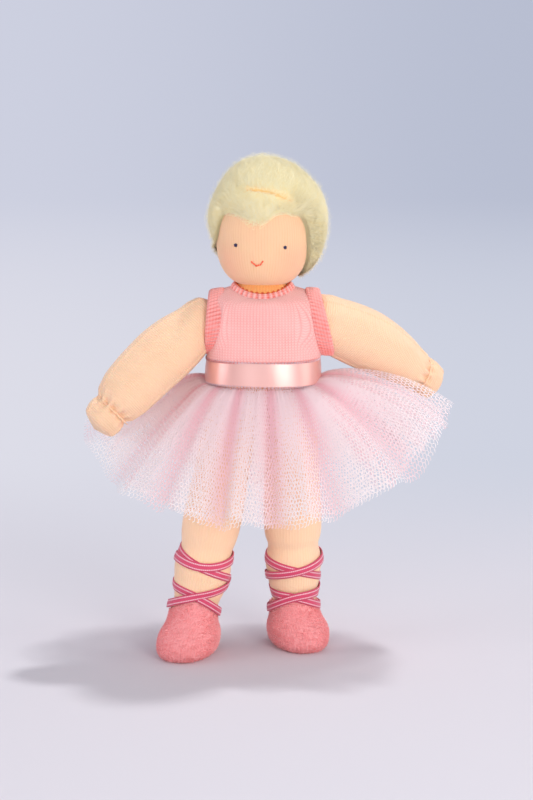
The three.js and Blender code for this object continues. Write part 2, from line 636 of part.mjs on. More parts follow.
// Arms, tied off at the wrist
function addArm(side, sign) {
  const shoulder = shoulders[side];
  const right = side === 'right';
  const drop = (right ? RIGHT_ARM_DROP_DEGREES : LEFT_ARM_DROP_DEGREES) * DEGREE;
  const forward = (right ? RIGHT_ARM_FORWARD_DEGREES : LEFT_ARM_FORWARD_DEGREES) * DEGREE;
  const direction = new THREE.Vector3(sign * Math.cos(drop) * Math.cos(forward),
    -Math.cos(drop) * Math.sin(forward), -Math.sin(drop));
  const upper = new THREE.Group();
  aim(upper, shoulder, direction, new THREE.Vector3(0, 1, 0));
  doll.add(upper);
  add(`${side}_shoulder_wire_bend`, ball(WIRE_BEND_RADIUS, shoulder, CORE_SEGMENTS), finish('wire', 0.4, 0.9));
  const armSizes = [SHOULDER_BALL_RADIUS, UPPER_ARM_LENGTH, UPPER_ARM_RADIUS, ELBOW_BALL_RADIUS,
    ELBOW_CREASE_RADIUS];
  stuff(`${side}_upper_arm`, upper, upperOutline(...armSizes), upperHollow(...armSizes), {
    pocket: WIRE_BEND_RADIUS + GAP, wire: [-WIRE_BEND_RADIUS - GAP, -UPPER_ARM_LENGTH + GAP],
  });

  const lower = new THREE.Group();
  lower.position.z = -UPPER_ARM_LENGTH;
  upper.add(lower);
  const creaseDrop = creaseDropOf(ELBOW_BALL_RADIUS, ELBOW_CREASE_RADIUS);
  const cup = ELBOW_BALL_RADIUS + JOINT_GAP;
  const forearmOutline = [
    [0, -ELBOW_CREASE_RADIUS * 0.2],
    [ELBOW_CREASE_RADIUS * 1.02, -creaseDrop],
    [(FOREARM_RADIUS + ELBOW_CREASE_RADIUS) / 2, -1.25 * creaseDrop],
    [FOREARM_RADIUS, -1.9 * creaseDrop],
    [FOREARM_RADIUS, -0.6 * FOREARM_LENGTH],
    [FOREARM_RADIUS * 0.93, -0.8 * FOREARM_LENGTH],
    [WRIST_RADIUS, -0.95 * FOREARM_LENGTH],
    [WRIST_RADIUS, -1.04 * FOREARM_LENGTH],
    [HAND_RADIUS, -FOREARM_LENGTH - 0.25 * HAND_LENGTH],
    [HAND_RADIUS * 0.93, -FOREARM_LENGTH - 0.6 * HAND_LENGTH],
    [HAND_RADIUS * 0.6, -FOREARM_LENGTH - 0.9 * HAND_LENGTH],
    [0, -FOREARM_LENGTH - HAND_LENGTH],
  ];
  const forearmHollow = [0, 1, 3, 4, 6, 7, 9, 11].map((i) => forearmOutline[i]);
  stuff(`${side}_forearm`, lower, forearmOutline, forearmHollow, {
    cutter: cup, wire: [-cup - GAP, -FOREARM_LENGTH - 0.4 * HAND_LENGTH],
  });
  const turns = winding(WRIST_RADIUS + GAP + THREAD_RADIUS, -0.995 * FOREARM_LENGTH, WRIST_THREAD_LOOPS,
    NECK_THREAD_PITCH);
  add(`${side}_wrist_thread`, wound(`${side}_wrist_thread`, turns, WRIST_THREAD_LOOPS), finish('skin'), lower);
}

// Least gap between stretches of a winding that lie at least some samples apart
function leastGap(samples, apart, width) {
  let least = Infinity;
  for (let i = 0; i < samples.length; i += 1) {
    for (let j = i + apart; j < samples.length; j += 1) least = Math.min(least, samples[i].distanceTo(samples[j]));
  }
  return least - width;
}

// Points of a thread wound round Z, evenly rising
function winding(radius, middle, loops, pitch) {
  const count = Math.round(loops * EDGING_POINTS);
  return Array.from({ length: count + 1 }, (_, i) => {
    const turn = (i / count) * loops;
    return new THREE.Vector3(radius * Math.cos(2 * Math.PI * turn), radius * Math.sin(2 * Math.PI * turn),
      middle + pitch * (turn - loops / 2));
  });
}

// Thread through wound points, with its least gap to itself printed
function wound(name, points, loops) {
  const steps = Math.round(loops * THREAD_STEPS);
  const samples = new THREE.CatmullRomCurve3(points).getSpacedPoints(2 * steps);
  const gap = leastGap(samples, THREAD_STEPS, 2 * THREAD_RADIUS);
  console.log(`${name}: least gap to itself ${gap.toFixed(2)} mm`);
  return tube(THREAD_RADIUS, points, steps, false, THREAD_SIDES);
}

// Head: jaw broader than an ellipse, round crown
const eyeHeight = chinHeight + EYE_RISE;
const headCentre = chinHeight + HEAD_HEIGHT / 2;
const above = (height, [x, y, z]) => [x, y, height + z];
const hairCentre = above(headCentre, HAIR_CENTRE_OFFSETS);
const crownCentre = above(chinHeight + HEAD_HEIGHT, CROWN_CENTRE_OFFSETS);
function headSurface(growth, rings = LIMB_SEGMENTS, segments = HEAD_SEGMENTS) {
  return loft(Array.from({ length: rings - 1 }, (_, i) => {
    const tilt = -Math.PI / 2 + (Math.PI * (i + 1)) / rings;
    const power = tilt < 0 ? JAW_POWER : SKULL_POWER;
    const spread = Math.cos(tilt) ** (2 / power);
    const rise = Math.sign(tilt) * Math.abs(Math.sin(tilt)) ** (2 / power);
    const height = headCentre + (HEAD_HEIGHT / 2 + growth) * rise;
    return levelRing((HEAD_HALF_WIDTH + growth) * spread, (HEAD_HALF_DEPTH + growth) * spread, height, 2, segments);
  }));
}

// Depth of the face in front of the head's axis at a place across and up
function faceDepth(across, height) {
  const power = height < headCentre ? JAW_POWER : SKULL_POWER;
  const up = Math.abs(height - headCentre) / (HEAD_HEIGHT / 2);
  const spread = (1 - up ** power) ** (1 / power);
  return HEAD_HALF_DEPTH * spread * Math.sqrt(1 - (across / (HEAD_HALF_WIDTH * spread)) ** 2);
}

function ellipsoid(halfSizes, centre, growth = 0, segments = HEAD_SEGMENTS) {
  return new THREE.SphereGeometry(1, segments, segments / 2).rotateX(Math.PI / 2)
    .scale(...halfSizes.map((size) => size + growth)).translate(...centre);
}

function addHead() {
  const neckOutline = [
    [0, neckHeight - NECK_BALL_RADIUS], ...arc(NECK_BALL_RADIUS, neckHeight, 150, 80),
    [NECK_RADIUS, neckHeight + 0.25 * NECK_LENGTH], [NECK_RADIUS, neckTop - 0.15 * NECK_LENGTH],
    [NECK_RADIUS * 0.8, neckTop], [0, neckTop],
  ];
  const wireHole = rod(WIRE_RADIUS + GAP, new THREE.Vector3(0, 0, neckHeight - OVERRUN),
    new THREE.Vector3(0, 0, neckTop + OVERRUN));
  const neckInside = (depth) => revolve(neckOutline.map(([radius, height]) => [Math.max(radius - depth, 0),
    height === neckTop ? height - depth : height + (height < neckHeight ? depth : 0)]));
  add('neck_skin', cut(revolve(neckOutline), neckInside(SKIN), wireHole), finish('skin'));
  add('neck_stuffing', cut(neckInside(SKIN + GAP), wireHole), finish('wool', 1));
  add('neck_wire', rod(WIRE_RADIUS, new THREE.Vector3(0, 0, neckHeight - NECK_BALL_RADIUS + GAP),
    new THREE.Vector3(0, 0, neckTop - GAP)), finish('wire', 0.4, 0.9));
  const threadMiddle = (chinHeight + torsoTop) / 2 + 2 * THREAD_RADIUS / 3;
  add('neck_thread', wound('neck_thread', winding(NECK_BALL_RADIUS + GAP + THREAD_RADIUS, threadMiddle,
    NECK_THREAD_LOOPS, NECK_THREAD_PITCH), NECK_THREAD_LOOPS), finish('thread'));

  const head = new THREE.Group();
  head.rotation.z = -HEAD_TURN_ANGLE * DEGREE;
  doll.add(head);
  const socket = (growth) => rod(NECK_RADIUS + JOINT_GAP + growth,
    new THREE.Vector3(0, 0, chinHeight - SHORT_OVERRUN),
    new THREE.Vector3(0, 0, neckTop + JOINT_GAP + growth), SOCKET_SEGMENTS);
  const eyes = Object.entries(sides).map(([side, sign]) => {
    const across = (sign * EYE_SPACING) / 2;
    return [side, new THREE.Vector3(across, -faceDepth(across, eyeHeight) - GAP, eyeHeight)];
  });
  const mouthPoints = Array.from({ length: MOUTH_POINTS }, (_, i) => {
    const across = (i / (MOUTH_POINTS - 1) - 0.5) * MOUTH_WIDTH;
    const height = chinHeight + MOUTH_RISE - MOUTH_SAG * (1 - (2 * across / MOUTH_WIDTH) ** 2);
    return new THREE.Vector3(across, -faceDepth(across, height) - THREAD_RADIUS, height);
  });
  add('head_skin', cut(headSurface(0), headSurface(-SKIN, CORE_SEGMENTS, LIMB_SEGMENTS), socket(0),
    ...eyes.map(([, at]) => ellipsoid(EYE_HALF_SIZES, at.toArray(), GAP, CORE_SEGMENTS)),
    tube(THREAD_RADIUS + GAP, mouthPoints, WIRE_STEPS)), finish('skin'), head);
  add('head_stuffing', cut(headSurface(-SKIN - 2 * GAP, CORE_SEGMENTS, LIMB_SEGMENTS), socket(GAP)), finish('wool', 1), head);
  for (const [side, at] of eyes) {
    add(`${side}_eye`, ellipsoid(EYE_HALF_SIZES, at.toArray(), 0, CORE_SEGMENTS), finish('eye', 0.6), head);
  }
  add('mouth', tube(THREAD_RADIUS, mouthPoints, WIRE_STEPS), finish('mouth', 0.7), head);

  const skull = headSurface(GAP);
  const window = new THREE.BoxGeometry(OVERRUN, OVERRUN, OVERRUN)
    .translate(0, -OVERRUN / 2 - HAIR_FRONT, crownCentre[2] - OVERRUN / 2);
  const hem = new THREE.BoxGeometry(OVERRUN, OVERRUN, OVERRUN).translate(0, 0, -OVERRUN / 2)
    .rotateY(HAIR_HEM_ANGLE * DEGREE).translate(0, 0, chinHeight + HAIR_HEM_RISE);
  add('hair_crown_roll', cut(ellipsoid(CROWN_HALF_SIZES, crownCentre), skull), finish('hair', 1), head);
  add('hair_cap', cut(ellipsoid(HAIR_HALF_SIZES, hairCentre), skull, window, hem,
    ellipsoid(CROWN_HALF_SIZES, crownCentre, GAP)), finish('hair', 1), head);
  const fringeBottom = chinHeight + FRINGE_BOTTOM_RISE;
  const strip = new THREE.BoxGeometry(OVERRUN, OVERRUN, crownCentre[2] - fringeBottom)
    .translate(0, -OVERRUN / 2 - FRINGE_FRONT, (crownCentre[2] + fringeBottom) / 2);
  const archHeight = chinHeight + HAIRLINE_RISE - HAIRLINE_RADIUS;
  const arch = rod(HAIRLINE_RADIUS, new THREE.Vector3(0, -OVERRUN, archHeight),
    new THREE.Vector3(0, OVERRUN, archHeight), HEAD_SEGMENTS);
  add('hair_fringe', cut(keep(headSurface(FRINGE_THICKNESS + GAP), strip), skull, arch,
    ellipsoid(CROWN_HALF_SIZES, crownCentre, GAP)), finish('hair', 1), head);
}

for (const [side, sign] of Object.entries(sides)) {
  addLeg(side);
  addArm(side, sign);
}
addTorso();
addBodice();
addWaist();
addHead();

// Origin at the middle of the bounding box's bottom face
doll.updateMatrixWorld(true);
const box = new THREE.Box3().setFromObject(doll, true);
const part = new THREE.Group();
doll.position.set(-(box.min.x + box.max.x) / 2, -(box.min.y + box.max.y) / 2, -box.min.z);
part.add(doll);

export default part;
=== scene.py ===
import bmesh
import bpy
import numpy as np
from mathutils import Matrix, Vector
from numpy import cos, radians, sin


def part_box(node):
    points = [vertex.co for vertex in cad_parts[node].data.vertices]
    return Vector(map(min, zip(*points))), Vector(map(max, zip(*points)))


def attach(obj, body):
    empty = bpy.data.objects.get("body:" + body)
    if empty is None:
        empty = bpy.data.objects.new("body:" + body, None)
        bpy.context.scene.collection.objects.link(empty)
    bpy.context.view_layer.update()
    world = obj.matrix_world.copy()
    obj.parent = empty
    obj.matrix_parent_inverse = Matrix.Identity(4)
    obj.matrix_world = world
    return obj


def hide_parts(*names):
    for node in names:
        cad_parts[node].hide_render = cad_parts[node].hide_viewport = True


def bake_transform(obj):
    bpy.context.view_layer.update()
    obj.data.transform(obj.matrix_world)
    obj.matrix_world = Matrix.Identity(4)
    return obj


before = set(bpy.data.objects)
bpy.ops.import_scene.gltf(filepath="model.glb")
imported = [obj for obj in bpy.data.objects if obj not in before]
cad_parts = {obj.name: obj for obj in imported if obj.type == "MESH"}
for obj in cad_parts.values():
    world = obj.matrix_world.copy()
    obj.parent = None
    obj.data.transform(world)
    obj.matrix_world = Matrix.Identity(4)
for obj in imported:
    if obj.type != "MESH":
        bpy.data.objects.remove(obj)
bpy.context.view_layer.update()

MM = 0.001
TURN = 2 * np.pi
NECK_LOW, NECK_HIGH = (np.array(corner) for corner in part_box("neck_skin"))
AXIS = np.append((NECK_LOW + NECK_HIGH)[:2] / 2 / MM, 0.0)

# Sizes of the doll in millimetres off its own axis
SIDES = {"right": -1.0, "left": 1.0}
HIP_HEIGHT, SHOULDER_HEIGHT = 76.5, 101.8
HIP = {side: np.array([sign * 8.4, 0.0, HIP_HEIGHT]) for side, sign in SIDES.items()}
SHOULDER = {side: np.array([sign * 18.2, 0.0, SHOULDER_HEIGHT]) for side, sign in SIDES.items()}
FOOT = {"right": (-22.0, -6.0), "left": (10.0, 3.5)}
THIGH, SHIN, UPPER_ARM, WRIST = 38.5, 31.5, 21.0, 17.31
SLIPPER_TOP = 12.6
HEAD_TURN = radians(-7)
HEAD_CENTRE, HEAD_UP, HEAD_DOWN = 128.6, 15.3, 16.3
HEAD_HALF_WIDTH, HEAD_HALF_DEPTH = 14, 13.4
JAW_POWER, SKULL_POWER = 2.7, 2.1
NET_WIDTH, NET_LENGTHS, NET_STEP, NET_CELL = 430.0, (42.5, 41.0, 39.5), 0.8, 1.4


def seeded(number):
    """The same random numbers on every run."""
    return np.random.default_rng(number)


def part(values):
    """Values held between 0 and 1."""
    return np.clip(values, 0, 1)


def eased(values):
    """Values held between 0 and 1, leaving one and reaching the other smoothly."""
    share = part(values)
    return share * share * (3 - 2 * share)


def vec(*parts):
    """Coordinates side by side as points, each spread over the shape of the others."""
    return np.stack(np.broadcast_arrays(*parts), -1)


def unit(vectors):
    """Vectors scaled to length one."""
    return vectors / np.maximum(np.linalg.norm(vectors, axis=-1, keepdims=True), 1e-9)


def full_turn(count):
    """Even angles once round."""
    return np.linspace(0, TURN, count, endpoint=False)


def distance_along(path):
    """How far along a path each of its points lies."""
    return np.concatenate([[0], np.cumsum(np.linalg.norm(np.diff(path, axis=0), axis=-1))])


def smooth_through(x, stations, values):
    """Smooth curve through stations: cubic steps whose slope at a station is the mean of its neighbours' slopes."""
    stations, values = np.asarray(stations, float), np.asarray(values, float)
    slopes = np.gradient(values, stations)
    k = np.clip(np.searchsorted(stations, x) - 1, 0, len(stations) - 2)
    span = stations[k + 1] - stations[k]
    t = part((x - stations[k]) / span)
    return ((2 * t**3 - 3 * t**2 + 1) * values[k] + (t**3 - 2 * t**2 + t) * span * slopes[k]
            + (3 * t**2 - 2 * t**3) * values[k + 1] + (t**3 - t**2) * span * slopes[k + 1])


def superellipse(angle, half_x, half_y, power):
    """Point of a level outline: cosine and sine raised to 2 / power, an ellipse at 2 and boxier above."""
    c, s = cos(angle), sin(angle)
    return half_x * np.sign(c) * np.abs(c) ** (2 / power), half_y * np.sign(s) * np.abs(s) ** (2 / power)


def grid_faces(rows, columns, ring_rows=False, ring_columns=False):
    """Quads between neighbouring points of a grid listed row by row; a ring side joins its end to its start."""
    i = np.arange(rows if ring_rows else rows - 1)[:, None]
    j = np.arange(columns if ring_columns else columns - 1)[None, :]
    i2, j2 = (i + 1) % rows, (j + 1) % columns
    return vec(i * columns + j, i * columns + j2, i2 * columns + j2, i2 * columns + j).reshape(-1, 4)


def many_faces(count, size, faces):
    """The same faces over each of many alike runs of points."""
    return ((np.arange(count) * size)[:, None, None] + faces[None]).reshape(-1, 4)


def new_piece(name, points, faces, material, body, uv=None, tone_and_shade=None, merge=True, replaces=(), outward=True):
    """Mesh piece from whole arrays, with points in millimetres off the doll's own axis. uv and the tone-and-shade
    values go by vertex.
    """
    points = (np.asarray(points, float).reshape(-1, 3) + AXIS) * MM
    faces = np.asarray(faces)
    mesh = bpy.data.meshes.new(name)
    mesh.vertices.add(len(points))
    mesh.vertices.foreach_set("co", points.ravel())
    mesh.loops.add(faces.size)
    mesh.loops.foreach_set("vertex_index", faces.ravel().astype(np.int32))
    mesh.polygons.add(len(faces))
    mesh.polygons.foreach_set("loop_start", np.arange(0, faces.size, faces.shape[1], dtype=np.int32))
    mesh.polygons.foreach_set("use_smooth", np.full(len(faces), True))
    mesh.update(calc_edges=True)
    for layer, values in (uv or {}).items():
        data = mesh.uv_layers.new(name=layer).data
        data.foreach_set("uv", np.asarray(values, float).reshape(-1, 2)[faces.ravel()].ravel())
    if tone_and_shade is not None:
        data = mesh.attributes.new("Fade", "FLOAT", "POINT").data
        data.foreach_set("value", np.asarray(tone_and_shade, float).ravel())
    if merge:
        work = bmesh.new()
        work.from_mesh(mesh)
        bmesh.ops.remove_doubles(work, verts=work.verts, dist=2e-6)
        bmesh.ops.dissolve_degenerate(work, edges=work.edges, dist=1e-7)
        if outward:
            bmesh.ops.recalc_face_normals(work, faces=work.faces)
        work.to_mesh(mesh)
        work.free()
    mesh.validate()
    piece = bpy.data.objects.new(name, mesh)
    bpy.context.scene.collection.objects.link(piece)
    mesh.materials.append(material)
    if replaces:
        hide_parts(*replaces)
    if body:
        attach(piece, body)
    return piece


def shell(name, points, uv, material, body, slot, *replaces, ring_rows=False, tone_and_shade=None):
    """Surface through a grid of points whose rows close into rings."""
    faces = grid_faces(*points.shape[:2], ring_rows, True)
    return new_piece(name, points, faces, material, body, None if uv is None else {"Cloth": uv}, tone_and_shade,
                     replaces=replaces)


def bend(piece, hinge, direction):
    """Fixes a piece's placing into its points; the reach 6 mm either side of the hinge is worked out but not used, so
    nothing bends.
    """
    low, high = (tuple((hinge + away * direction + AXIS) * MM) for away in (-6, 6))
    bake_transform(piece)


def cell_uv(count, corners):
    """Place of each of many alike small pieces in its own square of a chart; corners are points in that square."""
    side = int(np.ceil(np.sqrt(count)))
    k = np.arange(count)
    return ((vec(k % side, k // side)[:, None, :] + 0.15 + 0.7 * np.asarray(corners)[None]) / side).reshape(-1, 2)


def fibres(name, paths, widths, facing, material, body):
    """Flat fibres: each path's points moved to both sides by half its width, square to the path and its facing."""
    count, steps, _ = paths.shape
    side = unit(np.cross(np.gradient(paths, axis=1), facing)) * (widths / 2)[..., None]
    corners = np.stack(np.meshgrid([0.0, 1.0], np.linspace(0, 1, steps)), -1).reshape(-1, 2)
    tone = np.repeat(seeded(5).random(count), steps * 2)
    new_piece(name, np.stack([paths - side, paths + side], 2), many_faces(count, steps * 2, grid_faces(steps, 2)),
              material, body, {"OFBake": cell_uv(count, corners)}, tone, merge=False)


# Finishes
class Field:
    """Number that a shader works out point by point: arithmetic on it adds a node to its tree."""

    def __init__(self, socket):
        self.socket = socket

    def __add__(self, other):
        return maths("ADD", self, other)

    def __sub__(self, other):
        return maths("SUBTRACT", self, other)

    def __rsub__(self, other):
        return maths("SUBTRACT", other, self)

    def __mul__(self, other):
        return maths("MULTIPLY", self, other)

    def __truediv__(self, other):
        return maths("DIVIDE", self, other)

    def __pow__(self, other):
        return maths("POWER", self, other)

    def __abs__(self):
        return maths("ABSOLUTE", self)

    __radd__, __rmul__ = __add__, __mul__


def add_node(tree, kind, inputs=None, **settings):
    """Shader node with its settings; an input is a value or what another node gives."""
    made = tree.nodes.new(kind)
    for key, value in settings.items():
        setattr(made, key, value)
    for key, value in (inputs or {}).items():
        value = value.socket if isinstance(value, Field) else value
        if isinstance(value, bpy.types.NodeSocket):
            tree.links.new(value, made.inputs[key])
        else:
            made.inputs[key].default_value = value
    return made


def maths(operation, *values):
    """One step of arithmetic on fields and numbers."""
    tree = next(value.socket.id_data for value in values if isinstance(value, Field))
    return Field(add_node(tree, "ShaderNodeMath", dict(enumerate(values)), operation=operation).outputs[0])


def wave(place, pitch, shape="SINE"):
    """Wave between 0 and 1 that repeats after its pitch."""
    return 0.5 * maths(shape, place * (TURN / pitch)) + 0.5


def stepped(tree, value, start, end, reach=1.0, kind="LINEAR"):
    """Share that grows from 0 at the start to its reach at the end."""
    return Field(add_node(tree, "ShaderNodeMapRange", {0: value, 1: start, 2: end, 3: 0.0, 4: reach},
                          interpolation_type=kind).outputs[0])


def colour_of(rgb):
    """Screen colour from 0 to 255 as linear light."""
    c = np.asarray(rgb, float) / 255
    return tuple(np.where(c <= 0.04045, c / 12.92, ((c + 0.055) / 1.055) ** 2.4)) + (1.0,)


def finish(name, rgb, roughness, **sockets):
    """Principled material of one plain colour, and its node tree and shader."""
    material = bpy.data.materials.new(name)
    material.use_nodes = True
    tree = material.node_tree
    shader = tree.nodes["Principled BSDF"]
    shader.inputs["Base Color"].default_value = colour_of(rgb)
    shader.inputs["Roughness"].default_value = roughness
    for key, value in sockets.items():
        shader.inputs[key.replace("_", " ")].default_value = value
    material.diffuse_color = colour_of(rgb)
    return material, tree, shader


def mix(tree, share, first, second):
    """Colour between two colours, each a socket or screen numbers."""
    values = [c if isinstance(c, bpy.types.NodeSocket) else colour_of(c) for c in (first, second)]
    return add_node(tree, "ShaderNodeMix", {0: share, 6: values[0], 7: values[1]}, data_type="RGBA").outputs[2]


def paint(tree, shader, share, first, second):
    """Base colour between two colours."""
    tree.links.new(mix(tree, share, first, second), shader.inputs["Base Color"])


def relief(tree, shader, height, distance):
    """Bump in millimetres from a height between 0 and 1."""
    bump = add_node(tree, "ShaderNodeBump", {"Height": height, "Distance": distance * MM, "Strength": 1.0})
    tree.links.new(bump.outputs[0], shader.inputs["Normal"])


def cloth_axes(tree):
    """The two distances along the cloth in millimetres, from its own map."""
    uv = add_node(tree, "ShaderNodeUVMap", uv_map="Cloth").outputs[0]
    split = add_node(tree, "ShaderNodeSeparateXYZ", {0: uv})
    return Field(split.outputs[0]), Field(split.outputs[1])


def noise(tree, scale, detail=2.0, stretch=(1, 1, 1)):
    """Noise on Object coordinates, scale in waves a metre."""
    place = add_node(tree, "ShaderNodeTexCoord").outputs["Object"]
    mapped = add_node(tree, "ShaderNodeMapping", {"Vector": place, "Scale": stretch}).outputs[0]
    return Field(add_node(tree, "ShaderNodeTexNoise", {"Vector": mapped, "Scale": scale, "Detail": detail}).outputs[0])


def jersey(name, rgb, shade_rgb, rib, strength=1.0, rows=0.3, patches=(90, (1, 1, 1)), blush=None, thin=1.0):
    """Fine cotton jersey: close ribs across V, fainter rows along U, and painted shade in their hollows, in uneven
    patches.
    """
    material, tree, shader = finish(name, rgb, 0.85, Sheen_Weight=0.25, Sheen_Roughness=0.5, Subsurface_Weight=0.12,
                                    Subsurface_Scale=0.002)
    across, along = cloth_axes(tree)
    ribs = 1 - (1 - wave(across + noise(tree, 260, 1.0) * 0.5, rib)) ** thin
    height = wave(along, rib * 0.75) * rows + ribs * (1 - rows)
    relief(tree, shader, height, 0.12 * strength / thin)
    patch = noise(tree, patches[0], 3.0, patches[1]) * 1.2 - 0.1
    # Painted shade: the deeper colour goes into the hollows of the ribs and rows, in uneven patches.
    tint = mix(tree, (1 - height) * patch * (0.45 * strength), rgb, shade_rgb)
    tree.links.new(blush(tree, tint) if blush else tint, shader.inputs["Base Color"])
    return material


def cheeks(tree, tint):
    """Soft pink where the face comes near the middle of a cheek."""
    place = add_node(tree, "ShaderNodeTexCoord").outputs["Object"]
    for cheek in ((-11.0, -9.0, 120.0), (9.6, -10.2, 120.0)):
        middle = tuple((np.array(cheek) + AXIS) * MM)
        off = add_node(tree, "ShaderNodeVectorMath", {0: place, 1: middle}, operation="DISTANCE").outputs["Value"]
        tint = mix(tree, stepped(tree, off, 0.009, 0.001, 0.3, "SMOOTHSTEP"), tint, (244, 160, 136))
    return tint


def knit(name, rgb, shade_rgb, wide, tall, slant, depth):
    """Stocking stitch: columns of loops that slant up to both edges as a V, with painted shade, in uneven amount,
    between them.
    """
    material, tree, shader = finish(name, rgb, 0.9, Sheen_Weight=0.4, Sheen_Roughness=0.5)
    across, along = cloth_axes(tree)
    edge = abs(maths("FRACT", across / wide) - 0.5) * 2.0
    height = (wave(along / tall + edge * -slant, 1, "COSINE") * 0.6 + 0.4) * (1 - edge**4.0)
    relief(tree, shader, height, depth)
    # Painted shade: deeper colour between the loops, where they sink.
    paint(tree, shader, (1 - height) * (noise(tree, 150) * 0.8 + 0.35), rgb, shade_rgb)
    return material


def ribbed(name, rgb, shade_rgb, pitch, lean, depth):
    """Knit drawn up in ribs: ridges and valleys along U, leaning with V, with rows of small stitches; painted shade, in
    uneven amount, deepens the valleys and leaves the ridges pale.
    """
    material, tree, shader = finish(name, rgb, 0.9, Sheen_Weight=0.4, Sheen_Roughness=0.5)
    across, along = cloth_axes(tree)
    height = wave(along * lean + across, pitch, "COSINE") * 0.7 + wave(along, 0.75, "COSINE") * 0.3
    relief(tree, shader, height, depth)
    # Painted shade: deeper colour in the valleys between the ribs, pale on the ridges.
    paint(tree, shader, (1 - height) * (noise(tree, 260) * 1.2 + 0.2), rgb, shade_rgb)
    return material


def satin(name):
    """Satin: close crosswise threads, a gloss drawn out across the ribbon, and small uneven bends."""
    material, tree, shader = finish(name, (238, 182, 172), 0.4, Metallic=0.5, Anisotropic=0.8,
                                    Anisotropic_Rotation=0.25)
    tangent = add_node(tree, "ShaderNodeTangent", direction_type="UV_MAP", uv_map="Cloth")
    tree.links.new(tangent.outputs[0], shader.inputs["Tangent"])
    threads = wave(cloth_axes(tree)[0], 0.16)
    relief(tree, shader, threads * 0.008 + noise(tree, 90, 1.0, (1, 1, 0.25)) * 0.5, 0.3)
    paint(tree, shader, noise(tree, 120, 1.0, (1, 1, 0.2)), (252, 206, 200), (240, 178, 168))
    return material


def woven_ribbon(name):
    """Narrow ribbon: V runs over its width from 0 to 1, with two pale stitched stripes."""
    material, tree, shader = finish(name, (212, 62, 100), 0.55, Sheen_Weight=0.3)
    along, across = cloth_axes(tree)
    pale = stepped(tree, abs(abs(across - 0.5) - 0.27), 0.085, 0.05)
    dots = wave(along, 0.55) * 0.6 + 0.4
    ribs = wave(along, 0.28)
    paint(tree, shader, pale * dots, mix(tree, ribs, (222, 74, 112), (205, 52, 92)), (250, 205, 215))
    relief(tree, shader, pale * 0.6 + ribs * 0.3, 0.12)
    return material


def plush(name):
    """Short pile velour: soft mottling and fine upright ribs."""
    material, tree, shader = finish(name, (242, 148, 150), 0.95, Sheen_Weight=0.6, Sheen_Roughness=0.4,
                                    Sheen_Tint=colour_of((255, 190, 190)))
    height = wave(cloth_axes(tree)[0], 0.9) * 0.2 + noise(tree, 1900, 2.0) * 0.8
    relief(tree, shader, height, 0.3)
    paint(tree, shader, height, (242, 144, 148), (255, 186, 186))
    return material


def tone_and_shade_of(tree):
    """The piece's own value of tone and painted shade."""
    return add_node(tree, "ShaderNodeAttribute", attribute_name="Fade").outputs["Fac"]


def wool_mass(name):
    """Wool seen between its fibres: two uneven tones, and painted shade, golden, in the creases and at the edge beside
    the face, by its tone-and-shade value.
    """
    material, tree, shader = finish(name, (250, 238, 192), 0.85, Sheen_Weight=0.4)
    grain = noise(tree, 700, 3.0)
    # Painted shade: golden where the piece's tone-and-shade value is high, in the creases and beside the face.
    paint(tree, shader, tone_and_shade_of(tree), mix(tree, grain, (255, 240, 188), (255, 250, 214)), (238, 184, 88))
    relief(tree, shader, grain, 0.3)
    return material


def toned(name, dark_rgb, pale_rgb, roughness, see_through, **sockets):
    """Fibre or thread whose tone runs between two colours by its tone-and-shade value, with some light passing through:
    random for fibres, painted shade in the net's fold valleys.
    """
    material, tree, shader = finish(name, pale_rgb, roughness, **sockets)
    tint = mix(tree, tone_and_shade_of(tree), dark_rgb, pale_rgb)
    tree.links.new(tint, shader.inputs["Base Color"])
    glow = add_node(tree, "ShaderNodeBsdfTranslucent", {"Color": tint})
    blend = add_node(tree, "ShaderNodeMixShader", {0: see_through, 1: shader.outputs[0], 2: glow.outputs[0]})
    tree.links.new(blend.outputs[0], tree.nodes["Material Output"].inputs[0])
    return material


def grained(name, rgb, shade_rgb, scale, depth, roughness=0.9, **sockets):
    """Two uneven tones and a bump from the same noise."""
    material, tree, shader = finish(name, rgb, roughness, **sockets)
    grain = noise(tree, scale, 3.0)
    paint(tree, shader, grain, shade_rgb, rgb)
    relief(tree, shader, grain, depth)
    return material


LIMB_JERSEY = jersey("LimbJersey", (250, 211, 176), (230, 168, 120), 0.64)
FACE_JERSEY = jersey("FaceJersey", (243, 198, 158), (218, 148, 98), 0.86, 0.75, 0.08, (420, (1, 1, 0.3)), cheeks, 2.6)
LEG_JERSEY = jersey("LegJersey", (250, 210, 174), (236, 176, 128), 0.89, 0.5, 0.15)
BODY_JERSEY = jersey("BodyJersey", (245, 190, 145), (220, 140, 90), 0.7)
# The neck's deeper orange than the other jersey is painted shade under the chin.
NECK_PAINTED_SHADE_JERSEY = jersey("NeckJerseyPaintedShade", (240, 165, 95), (205, 105, 45), 0.7)
BODICE_KNIT = knit("BodiceKnit", (255, 198, 193), (246, 148, 144), 0.95, 0.8, 0.6, 0.14)
EDGE_KNIT = knit("EdgeKnit", (254, 166, 164), (242, 112, 112), 1.15, 0.9, 0.6, 0.3)
PLEAT_KNIT = ribbed("PleatKnit", (255, 196, 192), (236, 100, 88), 1.5, 0.0, 0.3)
CUFF_KNIT = ribbed("CuffKnit", (254, 180, 176), (243, 120, 112), 1.23, 0.35, 0.3)
RIBBON_SATIN = satin("RibbonSatin")
LACE_WEAVE = woven_ribbon("LaceWeave")
SLIPPER_PLUSH = plush("SlipperPlush")
PILE = toned("SlipperPile", (248, 158, 161), (255, 208, 208), 0.9, 0.2)
WOOL_BASE = wool_mass("HairWoolBase")
WOOL_FIBRE = toned("HairWool", (255, 242, 194), (255, 252, 226), 0.7, 0.15, Sheen_Weight=0.5)
NET_THREAD = toned("NetThread", (250, 200, 210), (255, 250, 251), 0.6, 0.42)
